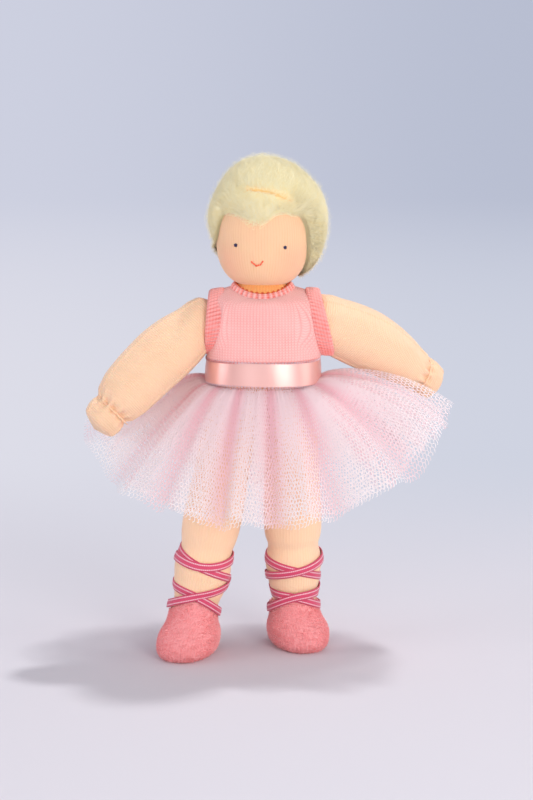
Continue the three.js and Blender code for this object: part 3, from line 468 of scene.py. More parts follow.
EYE_THREAD = grained("EyeThread", (44, 44, 96), (20, 20, 60), 3000, 0.05, 0.5)
MOUTH_THREAD = grained("MouthThread", (250, 118, 84), (236, 84, 56), 3000, 0.05, 0.6)
NECK_TIE = grained("NeckTie", (224, 98, 48), (190, 70, 30), 3000, 0.05, 0.6)
TAPE_COTTON = grained("TapeCotton", (243, 215, 222), (225, 190, 200), 1500, 0.1)
STUFFING = grained("StuffingWool", (240, 232, 214), (215, 205, 180), 900, 0.4)
WIRE_STEEL = grained("WireSteel", (190, 192, 196), (150, 152, 158), 4000, 0.02, 0.35, Metallic=1.0)


# Limbs
def limb_frame(direction, reference):
    """Three axes of a limb that hangs down its own third axis: the first lies nearest to the reference."""
    up = -unit(np.asarray(direction, float))
    first = unit(reference - up * np.dot(reference, up))
    return np.stack([first, np.cross(up, first), up])


def along_limb(origin, axes, reach, radii, angles, seams, bow=0.0, pleats=None):
    """Limb surface: a circle of the given radius at each distance down the limb, bowed along its second axis, with
    raised seams and wrist pleats."""
    down, turn = reach[:, None], angles[None]
    radius = radii[:, None] * np.ones_like(turn)
    for middle, high, wide in seams:
        off = np.arctan2(sin(turn - middle), cos(turn - middle))
        radius = radius + high * np.exp(-(off * radius / wide) ** 2) * (radii[:, None] > 2)
    if pleats:
        centre, spread, count, depth = pleats
        fan = cos(count * turn + 1.5 * sin(turn))
        radius = radius * (1 + depth * fan * np.exp(-((down - centre) / spread) ** 2))
    shift = bow * sin(np.pi * part(down / reach[-1]))
    return origin + vec(radius * cos(turn), radius * sin(turn) + shift, -down) @ axes, vec(down, turn * 8.5)


def arm_frame(side):
    """Direction and axes of an arm: how far it drops below level and swings forward, as in the photograph."""
    drop, forward = (radians(a) for a in {"right": (43, 16), "left": (27, -27)}[side])
    direction = np.array([SIDES[side] * cos(drop) * cos(forward), -cos(drop) * sin(forward), -sin(drop)])
    return direction, limb_frame(direction, np.array([0.0, 1.0, 0.0]))


def arm_droop(side, reach):
    """How far the stuffed arm sinks towards the hand, growing with the square of the distance from the shoulder."""
    return (0.0 if side == "right" else 2.0) * part(reach / 47.0) ** 2


def make_arm(side):
    """One stuffed jersey arm from inside the armhole to the round hand, tied in at the wrist."""
    direction, axes = arm_frame(side)
    reach = np.concatenate([np.linspace(-6.8, 35, 80), np.linspace(35.3, 41, 34), np.linspace(41.3, 46.2, 26)])
    stations = [-6.8, -5, -2, 3, 9, 15, 22, 28, 33, 36.2, 38.2, 40.0, 42.4, 44.8, 46.2]
    radii = smooth_through(reach, stations, {
        "right": [0.05, 4.8, 6.9, 7.6, 8.8, 9.3, 9.1, 8.8, 8.2, 7.0, 5.35, 6.1, 6.1, 4.4, 0.05],
        "left": [0.05, 5.6, 7.9, 8.6, 9.2, 9.4, 8.9, 8.0, 6.9, 6.1, 5.2, 5.7, 5.7, 4.1, 0.05]}[side])
    seams = [(sign * SIDES[side] * radians(118), 0.4, 0.34) for sign in (-1, 1)]
    points, uv = along_limb(SHOULDER[side], axes, reach, radii, full_turn(160), seams, -1.3 * SIDES[side],
                            (37.8, 1.9, 13, 0.1))
    points[..., 2] -= arm_droop(side, reach)[:, None]
    piece = shell(f"{side}_arm_cloth", points, uv, LIMB_JERSEY, None, "jersey", f"{side}_upper_arm_skin",
                  f"{side}_forearm_skin")
    bend(piece, SHOULDER[side] + direction * UPPER_ARM, direction)


def leg_frame(side):
    """Direction and axes of a leg, from its hip to the ankle above its foot."""
    across = np.array(FOOT[side]) - HIP[side][:2]
    ankle = np.array([*FOOT[side], HIP_HEIGHT - np.sqrt((THIGH + SHIN) ** 2 - across @ across)])
    direction = unit(ankle - HIP[side])
    return direction, limb_frame(direction, np.array([1.0, 0.0, 0.0]))


def leg_radii(side, reach):
    """Radius of the leg cloth down the leg: fuller above and between the ribbons, narrow in the slipper."""
    laced = np.array([45.5, 49.5, 52, 55, 58.2, 60.8]) - (0.0 if side == "right" else 1.4)
    return smooth_through(reach, [-7.6, -6, -2.5, 4, 12, 24, 30, 34, 38, 42, *laced, 64, 67.5, 70.5],
                          [0.05, 4.4, 7.2, 7.9, 8.2, 8.5, 8.75, 8.9, 8.9, 8.5, 7.85, 8.45, 8.7, 8.2, 7.8, 7.1, 6.6,
                           6.1, 0.05])


def make_leg(side):
    """One stuffed jersey leg from the hip down into the slipper, drawn in where the ribbons cross it."""
    direction, axes = leg_frame(side)
    reach = np.linspace(-7.6, 70.5, 170)
    points, uv = along_limb(HIP[side], axes, reach, leg_radii(side, reach), full_turn(96), [(TURN / 4, 0.3, 0.35)])
    piece = shell(f"{side}_leg_cloth", points, uv[..., ::-1], LEG_JERSEY, None, "jersey", f"{side}_thigh_skin",
                  f"{side}_lower_leg_skin")
    bend(piece, HIP[side] + direction * THIGH, direction)


def foot_surface(side, growth, rise, angle):
    """Slipper outline at each height: boxy ovals that toe out over the sole and turn into a ring round the leg."""
    direction, _ = leg_frame(side)
    stations = [0, 0.2, 0.4, 0.6, 0.8, 1]
    wide = smooth_through(rise, stations, [0.84, 1.0, 1.03, 0.99, 0.9, 0.84])[:, None] * 6.9 + growth
    long = smooth_through(rise, stations, [0.88, 1.0, 1.0, 0.94, 0.84, 0.72])[:, None] * 10.4 + growth
    rise = rise[:, None]
    x, y = superellipse(angle[None], wide, long, 2.15)
    toe_out = radians(19) * SIDES[side]
    y = y - 3.5 * (1 - rise**2)
    x, y = x * cos(toe_out) - y * sin(toe_out), x * sin(toe_out) + y * cos(toe_out)
    top = SLIPPER_TOP + 0.6 + 3.8 * part(-sin(angle)) ** 1.5
    z = rise * SLIPPER_TOP * (1 + (top[None] / SLIPPER_TOP - 1) * rise**2)
    axis = HIP[side] + direction * ((z[..., None] - HIP_HEIGHT) / direction[2])
    rim = HIP[side] + direction * ((SLIPPER_TOP - HIP_HEIGHT) / direction[2])
    x = x + FOOT[side][0] * (1 - rise) + rim[0] * rise
    y = y + FOOT[side][1] * (1 - rise**2) + rim[1] * rise**2
    share = eased((rise - 0.44) / 0.54)
    ring = 6.6 + growth * 0.5
    return vec(x * (1 - share) + (axis[..., 0] + ring * cos(angle)) * share,
               y * (1 - share) + (axis[..., 1] + ring * sin(angle)) * share, z)


def make_slipper(side):
    """Velour slipper: a rounded sole edge, soft walls that close round the leg, and short pile standing off it."""
    columns, rows = 120, 50
    angle, rise = full_turn(columns), np.linspace(0, 1, rows)
    high = rise[:, None]
    outer = foot_surface(side, 1.6, rise, angle)
    toe = part(-sin(angle) + 0.25)[None] * part(1 - high * 2.0)
    centre = outer.mean(1, keepdims=True)
    ribs = (1 + 0.016 * cos(44 * angle)[None] * toe + 0.007 * sin(5 * angle + 6 * high)
            + 0.005 * sin(13 * angle - 9 * high))
    low = part(1 - outer[..., 2:] / 2.2)
    for growth in (ribs[..., None], 1 - 0.09 * low**2):
        outer[..., :2] = centre[..., :2] + (outer[..., :2] - centre[..., :2]) * growth
    outer[..., 2] = np.maximum(outer[..., 2], 0.05)
    foot_centre, rim, rim_centre = outer[0].mean(0), outer[-1], outer[-1].mean(0)
    under = np.stack([foot_centre + (outer[0] - foot_centre) * k for k in (0.001, 0.5, 0.92)])
    under[..., 2] = 0.02
    roll = np.stack([rim_centre + (rim - rim_centre) * [k, k, 1] + [0, 0, h]
                     for k, h in ((0.99, 0.3), (0.965, 0.42), (0.94, 0.3), (0.925, -0.3))])
    inner = foot_surface(side, 0.3, rise, angle)[::-1][3:30]
    floor_centre = inner[-1].mean(0)
    floor = np.stack([floor_centre + (inner[-1] - floor_centre) * k for k in (0.5, 0.001)])
    points = np.concatenate([under, outer, roll, inner, floor])
    shell(f"{side}_slipper", points, vec(angle[None] * 8.5, distance_along(points[:, 0])[:, None]), SLIPPER_PLUSH,
          f"{side}_lower_leg", "plush", f"{side}_shoe")
    pick = seeded(11 if side == "right" else 12)
    count = 17000
    i, j = pick.uniform(0.2, rows - 1.001, count), pick.uniform(0, columns, count)
    i0, j0 = i.astype(int), j.astype(int) % columns
    root = outer[i0, j0] * (1 - i + i0)[:, None] + outer[i0 + 1, j0] * (i - i0)[:, None]
    root = root + (outer[i0, (j0 + 1) % columns] - outer[i0, j0]) * (j - j.astype(int))[:, None]
    middle = centre[i0, 0]
    out = unit(root - vec(middle[:, 0], middle[:, 1], np.maximum(middle[:, 2] - 2, 2)))
    lean = out + pick.normal(0, 0.4, (count, 3)) + [0, 0, 0.2]
    tip = root + unit(lean) * pick.uniform(0.3, 0.7, count)[:, None]
    tip[:, 2] = np.maximum(tip[:, 2], 0.1)
    paths = np.stack([root - 0.1 * out, (root + tip) / 2, tip], 1)
    fibres(f"{side}_slipper_pile", paths, np.broadcast_to([0.13, 0.1, 0.03], (count, 3)),
           np.broadcast_to(np.cross(out, [0.3, 0.2, 1.0])[:, None], paths.shape), PILE, f"{side}_lower_leg")


LACE_HEIGHTS = {
    ("right", "outer_lace"): [-1.8, -1.5, 3.75, 8.4, 10.8, 13.9, 13.1, 16.4, 17.5],
    ("right", "inner_lace"): [-1.5, -1.0, 3.5, 5.2, 7.4, 9.8, 12.7, 16.3, 17.5],
    ("left", "outer_lace"): [-3.8, -3.4, 2.2, 2.6, 5.0, 7.5, 10.4, 13.2, 14.5],
    ("left", "inner_lace"): [-3.2, -2.8, 2.1, 2.7, 4.5, 6.6, 11.0, 13.6, 14.5],
}


def closed_ends(ring):
    """A run of rings with both of its ends drawn together into a point."""
    first, last = (np.broadcast_to(end.mean(0), (1, *end.shape)) for end in (ring[0], ring[-1]))
    return np.concatenate([first, ring, last])


def make_lacing(side):
    """Two narrow ribbons wound twice up the leg, opposite ways round, through their heights at each quarter turn."""
    direction, axes = leg_frame(side)
    rim = (SLIPPER_TOP - HIP_HEIGHT) / direction[2]
    turn = np.linspace(-0.22, 1.78, 240)
    across = np.linspace(-1, 1, 7)
    for name, sense, layer in (("inner_lace", -1, 0), ("outer_lace", 1, 1)):
        rise = smooth_through(turn, [-0.22, 0, 0.25, 0.5, 0.75, 1.0, 1.25, 1.5, 1.78], LACE_HEIGHTS[side, name])
        angle = (np.pi if sense > 0 else 0.0) + sense * TURN * turn
        reach = rim - 2.2 - (rise[:, None] + across[None] * 1.3)
        shoe_top = 7.95 - part((rise - 0.3 - 2.7 * part(-sin(angle))) / 2)[:, None]
        out = np.maximum(leg_radii(side, reach) + 0.12, shoe_top) + layer * 0.42 + 0.2 + 0.12 * cos(across * np.pi / 2)
        angle = angle[:, None]
        outer, inner = (vec(far * cos(angle), far * sin(angle), -reach) for far in (out, out - 0.3))
        local = closed_ends(np.concatenate([outer, inner[:, ::-1]], 1))
        width = (np.concatenate([across, across[::-1]]) + 1) / 2
        length = np.concatenate([turn[:1], turn, turn[-1:]]) * TURN * 9
        shell(f"{side}_{name}_ribbon", HIP[side] + local @ axes, vec(length[:, None], width[None]), LACE_WEAVE,
              f"{side}_lower_leg", "lace_ribbon", f"{side}_{name}")


# Torso and what it wears
def body_rings(rows, heights, half_x, half_y, powers, columns):
    """Boxy oval rings through named heights, and how far round and up each point lies."""
    share = np.linspace(0, 1, rows)
    station = np.linspace(0, 1, len(heights))
    z, a, b, p = (smooth_through(share, station, values)[:, None] for values in (heights, half_x, half_y, powers))
    points = vec(*superellipse(full_turn(columns)[None], a, b, p), z)
    return points, vec(distance_along(points[rows // 3])[None], distance_along(points[:, 0])[:, None])


def make_torso():
    """Stuffed jersey trunk: closed below between the hips and above round the neck."""
    points, uv = body_rings(60, [78.0, 77.8, 79.5, 84, 91, 98, 105, 108.4, 109.6, 109.8],
                            [0.05, 7.5, 12.6, 13.9, 14.3, 15.2, 15.1, 13.6, 8, 0.05],
                            [0.05, 5.5, 9.4, 10.5, 10.9, 11.1, 11, 9.8, 6, 0.05],
                            [2, 2, 2.2, 2.2, 2.3, 2.4, 2.4, 2.3, 2, 2], 96)
    shell("trunk_cloth", points, uv, BODY_JERSEY, "torso", "jersey", "torso_skin")


def neckline_height(angle):
    """Height of the neckline round the neck: lowest in front, highest at the sides."""
    return 112.2 - 2.5 * part(-sin(angle)) ** 1.6 + 0.3 * part(sin(angle))


def cuff_seam(side, turn):
    """Distance of a cuff's seam from the middle of the body, round the arm from its top."""
    low = (1 - cos(turn)) / 2
    return 11.8 + 4.4 * low**3 if side == "right" else 13.2 + 4.6 * low**3 + 1.4 * part(-sin(turn)) ** 2


def make_bodice():
    """Knitted top: one sheet over chest and shoulders with round armholes, given its thickness afterwards."""
    rows, columns = 96, 264
    points, uv = body_rings(rows, [90.7, 92.5, 96, 100, 104, 107, 109.4, 110.8, 111.6, 112.2],
                            [17.0, 16.9, 16.7, 16.6, 16.5, 16.3, 15.6, 13.9, 11.8, 9.3],
                            [13.0, 12.9, 12.7, 12.5, 12.4, 12.0, 11.4, 10.7, 10.0, 9.2],
                            [2.3, 2.4, 2.4, 2.4, 2.4, 2.4, 2.35, 2.25, 2.1, 2.0], columns)
    beside_arm = points[..., 1], points[..., 2] - SHOULDER_HEIGHT
    near, turn = eased((12.4 - np.hypot(*beside_arm)) / 3.2), np.arctan2(*beside_arm)
    for side, sign in SIDES.items():
        beside = part((points[..., 0] * sign - 9.6) / 1.6) * part((110.6 - points[..., 2]) / 1.5)
        push = np.clip(cuff_seam(side, turn) + 0.4 - np.abs(points[..., 0]), 0, 6) * near * beside
        points[..., 0] += sign * push
    share = part((points[..., 2] - 103) / 9.2)
    points[..., 2] += share**2 * (neckline_height(full_turn(columns)) - 112.2)[None]
    faces = grid_faces(rows, columns, ring_columns=True)
    middle = points.reshape(-1, 3)[faces].mean(1)
    off = np.hypot(middle[:, 1], middle[:, 2] - SHOULDER_HEIGHT)
    piece = new_piece("bodice_knit", points, faces[(off > 9.2) | (np.abs(middle[:, 0]) < 6)], BODICE_KNIT, "torso",
                      {"Cloth": uv}, outward=False, replaces=("bodice",))
    wall = piece.modifiers.new("Wall", "SOLIDIFY")
    wall.thickness, wall.offset = 0.0006, -1.0


def ring_band(centres, outward, upward, half_out, half_up, ribs=0, depth=0.0, rows=24):
    """Closed band along a ring of centres: an oval section whose outer side is ribbed along the ring."""
    columns, turn = len(centres), full_turn(rows)
    ridge = 1 + depth * cos(ribs * full_turn(columns))[:, None] * (0.6 + 0.4 * cos(turn)[None])
    out, up = half_out * cos(turn)[None] * ridge, half_up * sin(turn)[None] * ridge
    points = centres[:, None] + out[..., None] * outward[:, None] + up[..., None] * upward[:, None]
    return points, vec(distance_along(centres)[:, None], turn[None] * 1.6)


def make_armhole(side):
    """Ribbed cuff round the armhole: from its seam on the bodice out to a rolled free edge over the arm's root."""
    columns, rows = 330, 48
    t = full_turn(columns)[:, None]
    low = (1 - cos(t)) / 2
    seam = cuff_seam(side, t) - 0.3
    edge, edge_radius, lip = {"right": (16.2 + 1.3 * low, 8.4 + 0.5 * low, -1.7),
                              "left": (17.3 + 4.4 * low, 8.8 + 0.8 * low, -1.3)}[side]
    section = np.array([[0.0, 0.25], [0.08, 0.62], [0.35, 0.8], [0.7, 0.85], [0.9, 0.8], [1.01, 0.45], [1.04, -0.2],
                        [1.0, 0.55 * lip], [0.85, lip], [0.5, 0.9 * lip], [0.15, 0.4 * lip], [-0.02, -0.05]])
    k = np.linspace(0, 1, rows, endpoint=False) * len(section)
    k0 = k.astype(int)
    profile = section[k0 % 12] * (1 - k + k0)[:, None] + section[(k0 + 1) % 12] * (k - k0)[:, None]
    across, out = profile[:, 0][None], profile[:, 1][None]
    ridge = 1 + 0.3 * cos(50 * t + 5.0 * part(across)) * (out > 0)
    x = seam * (1 - across) + edge * across
    radius = 9.5 * (1 - across) + edge_radius * across + out * ridge
    points = vec(SIDES[side] * x, radius * sin(t), SHOULDER_HEIGHT + 0.2 * across + radius * cos(t))
    shell(f"{side}_armhole_band", points, vec(t * 9.8, distance_along(profile * [4.0, 1.0])[None]), CUFF_KNIT, "torso",
          "edging", f"{side}_armhole_edging", ring_rows=True)


def make_neckline():
    """Gathered neckline: a band of small upright pleats drawn in to the neck, lowest in front."""
    columns, pleats = 408, 34
    t = full_turn(columns)
    outward = vec(cos(t), sin(t), 0 * t)
    ring = 8.95 * outward + vec(0, 0, neckline_height(t) - 0.35)
    upward = unit(vec(0, 0, 1 + 0 * t) - outward * (0.3 + 0.2 * part(-sin(t)))[:, None])
    points, uv = ring_band(ring, np.cross(upward, np.cross(outward, upward)), upward, 0.75, 1.9)
    points = points + (0.2 * cos(pleats * t))[:, None, None] * outward[:, None]
    uv[..., 0] = (t / TURN * pleats * 1.5)[:, None]
    shell("neckline_gathers", points, uv, PLEAT_KNIT, "torso", "edging", "neckline_edging", ring_rows=True)


def make_hem():
    """Thin rolled lower edge of the bodice, redder than the knit."""
    t = full_turn(240)
    ring = vec(*superellipse(t, 16.95, 12.98, 2.35), 90.75)
    points, uv = ring_band(ring, vec(cos(t), sin(t), 0), vec(0, 0, 1 + 0 * t), 0.42, 0.4, 90, 0.12, 10)
    shell("bodice_hem_roll", points, uv, EDGE_KNIT, "torso", "bodice_knit", ring_rows=True)


def make_waist_ribbon():
    """Satin ribbon once round the waist and lapped behind, a little bowed, with small loops along both edges."""
    columns, rows = 260, 26
    turn = (np.linspace(-0.045, 1.045, columns) + 0.25)[:, None] * TURN
    lap = np.linspace(0, 0.75, columns)[:, None]
    up = np.linspace(-1, 1, rows)
    x, y = superellipse(turn, 17.1 + lap, 13.6 - 0.25 * up + lap, 2.2)
    bow = 0.2 * (1 - up**2) + 0.12 * sin(3 * turn + 0.6) * up + 0.06 * sin(7 * turn) - 0.2 * up
    outward = vec(cos(turn), sin(turn), 0)
    front = vec(x, y, 87.3 + 3.5 * up + 0.15 * sin(2 * turn)) + outward * bow[..., None]
    closed = closed_ends(np.concatenate([front, (front - outward * 0.3)[:, ::-1]], 1))
    length = np.concatenate([[0], np.linspace(0, 105, columns), [105]])
    shell("waist_satin", closed, vec(length[:, None], np.concatenate([up, up[::-1]])[None] * 3.5), RIBBON_SATIN,
          "torso", "satin_ribbon", "waist_ribbon")
    count = 118
    t = (np.linspace(-0.04, 1.04, count) + 0.25) * TURN
    lap = np.linspace(0, 0.75, count)
    ring, tube_angle = full_turn(7)[None, :, None], full_turn(4)[None, None, :, None]
    for name, level, sign in (("waist_upper_loops", 90.85, 1), ("waist_lower_loops", 83.75, -1)):
        x, y = superellipse(t, 17.15 - 0.2 * sign + lap, 13.65 - 0.42 * sign + lap, 2.2)
        centre = vec(x, y, level + 0.15 * sin(2 * t))
        tangent = unit(np.gradient(centre, axis=0))
        outward = np.cross(tangent, [0, 0, 1.0])[:, None, None]
        around = (cos(ring) * tangent[:, None] + sin(ring) * np.array([0, 0, 1.0]))[:, :, None]
        points = centre[:, None, None] + 0.27 * around + 0.1 * (cos(tube_angle) * around + sin(tube_angle) * outward)
        new_piece(name, points, many_faces(count, 28, grid_faces(7, 4, True, True)), TAPE_COTTON, "torso",
                  merge=False)


# Tulle skirt: its fall below level, and how much less of it at the waist, at bearings from the doll's left side
FALLS = np.array([[0, 11, 30], [22, 31, 13], [55, 45, 9], [90, 62, 9], [125, 44, 9], [150, 22, 14], [170, 20, 22],
                  [191, 40, 9], [215, 47, 9], [240, 60, 9], [270, 67, 9], [300, 58, 9], [325, 36, 14], [345, 17, 27],
                  [360, 11, 30]], float)


def fall_at(bearing, spread, down):
    """Fall below level at a bearing: half-cosine steps between bearings, and less near the waist by its rounding."""
    k = np.clip(np.searchsorted(FALLS[:, 0], bearing, "right") - 1, 0, len(FALLS) - 2)
    share = 0.5 - 0.5 * cos(np.pi * (bearing - FALLS[k, 0]) / (FALLS[k + 1, 0] - FALLS[k, 0]))
    mean, rounding = (FALLS[k, i] + (FALLS[k + 1, i] - FALLS[k, i]) * share for i in (1, 2))
    return mean + spread * (1 - 0.55 * sin(radians(mean)) ** 2) + rounding * (down - 1)


def net_surface(turn, down, layer):
    """Place on a net layer: out from the ribbon's foot along a falling arc, with deep and small folds and gathers."""
    edge = 1.8 - NET_STEP * layer
    x, y = superellipse(turn, 14.3 + edge, 10.9 + edge, 2.2)
    slope = radians(fall_at(np.degrees(turn) % 360, (0, 5, 9.5)[layer], down))
    phase = 1.7 * layer
    valley = (0.5 - 0.5 * cos(14 * turn + 0.8 * sin(2 * turn) - 1.48 + 0.25 * phase)) ** 2
    fold = 2.3 * down**1.1 * (0.75 - 2 * valley) * (1 + 0.35 * sin(3 * turn + 1.1))
    small = 0.5 * down**0.8 * cos(33 * turn + 2.6 * sin(3 * turn + phase) + 1.6 * down + phase)
    gathers = 0.1 * np.exp(-5 * down) * cos(83 * turn + 3 * sin(5 * turn + phase))
    ragged = 1 + 0.018 * sin(9 * turn + phase) + 0.012 * sin(23 * turn + 2 * phase)
    reach = NET_LENGTHS[layer] * down * ragged
    puff = 3.0 * (1 - np.exp(-down / 0.05)) * (1 - down) ** 2 * np.abs(cos(turn)) ** 1.5
    lift = fold + small + gathers + puff
    flat = reach * cos(slope) + lift * sin(slope)
    z = 83.1 - NET_STEP * layer - reach * sin(slope) + lift * cos(slope)
    return vec(x + flat * cos(turn), y + flat * sin(turn), z), valley


def make_net(name, node, layer):
    """One gathered net layer: flat hexagons, each thread a narrow strip laid on the hanging surface."""
    length = NET_LENGTHS[layer]
    row_step = NET_CELL * 0.866
    rows, columns = int(length / row_step), int(NET_WIDTH / NET_CELL)
    i, j = np.meshgrid(np.arange(rows), np.arange(columns), indexing="ij")
    centre = vec((j + 0.5 * (i % 2)) * NET_CELL, i * row_step + 0.4).reshape(-1, 2)
    corner_angle = radians([0, 60, 120, 180])
    corner = NET_CELL / np.sqrt(3) * vec(sin(corner_angle), cos(corner_angle))
    ends = (centre[:, None, None] + np.stack([corner[:-1], corner[1:]], 1)[None]).reshape(-1, 2, 2)
    ends = ends + 0.2 * vec(sin(ends[..., 1] * 2.1 + ends[..., 0] * 0.7), cos(ends[..., 0] * 1.9 - ends[..., 1]))
    edge_turn = np.linspace(0, TURN, 2001)
    along = distance_along(net_surface(edge_turn % TURN, 0.62 + 0 * edge_turn, layer)[0])
    rounds = ends[..., 0] / (columns * NET_CELL)
    turn = np.interp(rounds % 1.0, along / along[-1], edge_turn) + TURN * np.floor(rounds)
    down = np.clip(ends[..., 1] / length, 0, 1.01)
    points, valley = net_surface(turn % TURN, down, layer)
    middle, level, step = turn.mean(1), down.mean(1), 1e-3
    here, beside, below = (net_surface(place % TURN, height, layer)[0] for place, height in (
        (middle, level), (middle + step, level), (middle, level + step)))
    normal = unit(np.cross(below - here, beside - here))
    run = points[:, 1] - points[:, 0]
    side = unit(np.cross(run, normal)) * (0.108 + 0.06 * part(1 - 1.6 * level))[:, None]
    quad = np.stack([points[:, 0] - side, points[:, 0] + side, points[:, 1] + side, points[:, 1] - side], 1)
    # Painted shade: the threads are deeper pink in the fold valleys, and darker towards the waist.
    tone = np.repeat(part(0.72 + 0.28 * down - 0.55 * valley**1.5).mean(1), 4)
    piece = new_piece(name, quad, np.arange(len(quad) * 4).reshape(-1, 4), NET_THREAD, "torso",
                      {"OFBake": cell_uv(len(quad), [[0, 0], [1, 0], [1, 1], [0, 1]])}, tone, merge=False,
                      replaces=(node,))


# Head
def head_part(height):
    """Power and half height of the head's outline: boxier and longer below its middle."""
    low = height < HEAD_CENTRE
    return np.where(low, JAW_POWER, SKULL_POWER), np.where(low, HEAD_DOWN, HEAD_UP)


def turned(points):
    """Points of the head turned a little towards the doll's right, about its upright axis."""
    c, s = cos(HEAD_TURN), sin(HEAD_TURN)
    return points @ np.array([[c, s, 0], [-s, c, 0], [0, 0, 1.0]])


def face_depth(across, height):
    """How far the face lies in front of the head's axis at a place across and up."""
    power, half = head_part(height)
    spread = (1 - (np.abs(height - HEAD_CENTRE) / half) ** power) ** (1 / power)
    return HEAD_HALF_DEPTH * spread * np.sqrt(1 - (across / (HEAD_HALF_WIDTH * spread)) ** 2)


def tube(path, radius, sides=8):
    """Closed round tube along a path, its radius given for each point; both ends close to a point."""
    run = unit(np.gradient(path, axis=0))
    first = unit(np.cross(run, np.array([0.12, 0.31, 0.94])))
    second = np.cross(run, first)
    t = full_turn(sides)[None, :, None]
    points = path[:, None] + (cos(t) * first[:, None] + sin(t) * second[:, None]) * np.broadcast_to(
        radius, (len(path),))[:, None, None]
    return np.concatenate([points[:1] * 0 + path[0], points, points[:1] * 0 + path[-1]])


def make_head():
    """Jersey head, boxier than an ellipse below its middle, with two stitched eyes and a stitched smile."""
    tilt, angle = np.linspace(-np.pi / 2, np.pi / 2, 90)[:, None], full_turn(140)[None]
    power, half = head_part(HEAD_CENTRE + tilt)
    spread = cos(tilt) ** (2 / power)
    z = HEAD_CENTRE + half * np.sign(tilt) * np.abs(sin(tilt)) ** (2 / power)
    points = vec(HEAD_HALF_WIDTH * spread * cos(angle), HEAD_HALF_DEPTH * spread * sin(angle), z)
    shell("head_cloth", turned(points), vec(angle * 13.5, z), FACE_JERSEY, "head", "jersey", "head_skin")
    for side, sign in SIDES.items():
        x, high = {"right": (-6.5, 125.8), "left": (8.1, 125.25)}[side]
        pick = seeded(21 + int(sign))
        middle = np.array([x, -face_depth(x, high) - 0.2, high])
        parts = []
        for k in range(6):
            half = 0.48 - 0.07 * abs(k - 2.5)
            shift = np.array([(k - 2.5) * 0.13, 0.0, pick.normal(0, 0.04)])
            s = np.linspace(-1, 1, 9)
            lean = 1 if k % 2 else -1
            parts.append(tube(middle + shift + vec(half * 0.25 * s * lean, -0.28 * (1 - s**2), half * s), 0.13, 6))
        points = np.stack(parts)
        rows = points.shape[1]
        new_piece(f"{side}_eye_stitches", turned(points.reshape(-1, 3)),
                  many_faces(6, rows * 6, grid_faces(rows, 6, ring_columns=True)), EYE_THREAD, "head",
                  replaces=(f"{side}_eye",))
    s = np.linspace(-1, 1, 40)
    height, across = 121.25 - 1.35 * (1 - s**2) + 0.1 * sin(9 * s), s * 1.75
    path = vec(across, -face_depth(across, height) - 0.12 - 0.1 * np.abs(sin(s * 7)), height)
    thick = 0.12 + 0.13 * np.abs(sin(s * 8.5))
    shell("smile_stitches", turned(tube(path, thick)), None, MOUTH_THREAD, "head", "mouth_thread", "mouth")


def make_neck():
    """Short jersey neck with the thread wound round it, and the threads wound round the wrists."""
    z = np.linspace(103.9, 118.0, 30)[:, None]
    radius = smooth_through(z, [103.9, 104.6, 106, 108.6, 109.6, 110.6, 112.4, 113.6, 116.5, 118],
                            [0.05, 2.6, 4.6, 6.4, 8.0, 8.1, 8.0, 7.2, 5.6, 0.05])
    angle = full_turn(60)[None]
    shell("neck_cloth", vec(radius * cos(angle), radius * sin(angle), z), vec(angle * 6, z), NECK_PAINTED_SHADE_JERSEY, "neck",
          "jersey", "neck_skin")
    loops = np.linspace(0, 2, 700)
    turn, ripple = TURN * loops, 31 * TURN * loops
    level = neckline_height(turn) + 1.15 + 0.35 * (loops - 1) + 0.32 * sin(ripple)
    radius = 8.15 + 0.12 * cos(ripple)
    shell("neck_tie_thread", tube(vec(radius * cos(turn), radius * sin(turn), level), 0.2, 6), None, NECK_TIE, "neck",
          "neck_thread", "neck_thread")
    loops = np.linspace(0, 1.3, 120)
    turn = TURN * loops
    thread = tube(vec(5.95 * cos(turn), 5.95 * sin(turn), -WRIST + 0.9 * (loops - 0.65)), 0.2, 6)
    for side in SIDES:
        direction, axes = arm_frame(side)
        elbow = SHOULDER[side] + direction * UPPER_ARM - [0, 0, arm_droop(side, UPPER_ARM + WRIST)]
        shell(f"{side}_wrist_tie_thread", elbow + thread @ axes, np.zeros((*thread.shape[:2], 2)), LIMB_JERSEY,
              f"{side}_forearm", "jersey", f"{side}_wrist_thread")


# Hair: one wool mass seen from the head's centre, and fine fibres combed over it
HAIR_CENTRE = np.array([0.0, 0.0, 131.0])
HAIR_LIFTS = [-60, -48, -32, -13, 2, 11, 24, 35, 45, 62, 76, 90]
HAIR_PROFILES = {
    "viewer_right": [20.4, 20.1, 19.4, 19.1, 19.3, 19.6, 19.8, 19.9, 19.8, 20.1, 20.2, 20.1],
    "viewer_left": [14.6, 14.9, 15.0, 15.4, 15.9, 16.3, 16.7, 17.1, 17.6, 19.0, 19.9, 20.1],
    "front": [14.0, 14.0, 14.2, 14.6, 15.0, 15.4, 16.2, 17.0, 17.8, 19.2, 20.0, 20.1],
    "back": [18.0, 18.0, 17.8, 17.6, 17.5, 17.7, 18.3, 18.8, 19.2, 19.7, 20.0, 20.1],
}
HAIR_EDGE = np.array([[-180, -50], [-135, -50], [-115, -42], [-100, -33], [-88, -26], [-78, -22], [-66, -14], [-60, -2],
                      [-55, 12], [-48, 17], [-30, 18.5], [-20, 15], [-10, 11.5], [4, 11], [13, 14], [23, 20], [32, 22],
                      [46, 19], [58, 15], [66, 9], [74, -6], [80, -27], [90, -47], [100, -53], [130, -52], [180, -50]],
                     float)


def hair_ray(angle, lift):
    """Direction at a bearing round the head and an angle above level."""
    return vec(cos(lift) * cos(angle), cos(lift) * sin(angle), sin(lift))


def off_front(angle):
    """Degrees from straight ahead, positive towards the doll's left."""
    return np.degrees(np.arctan2(sin(angle + np.pi / 2), cos(angle + np.pi / 2)))


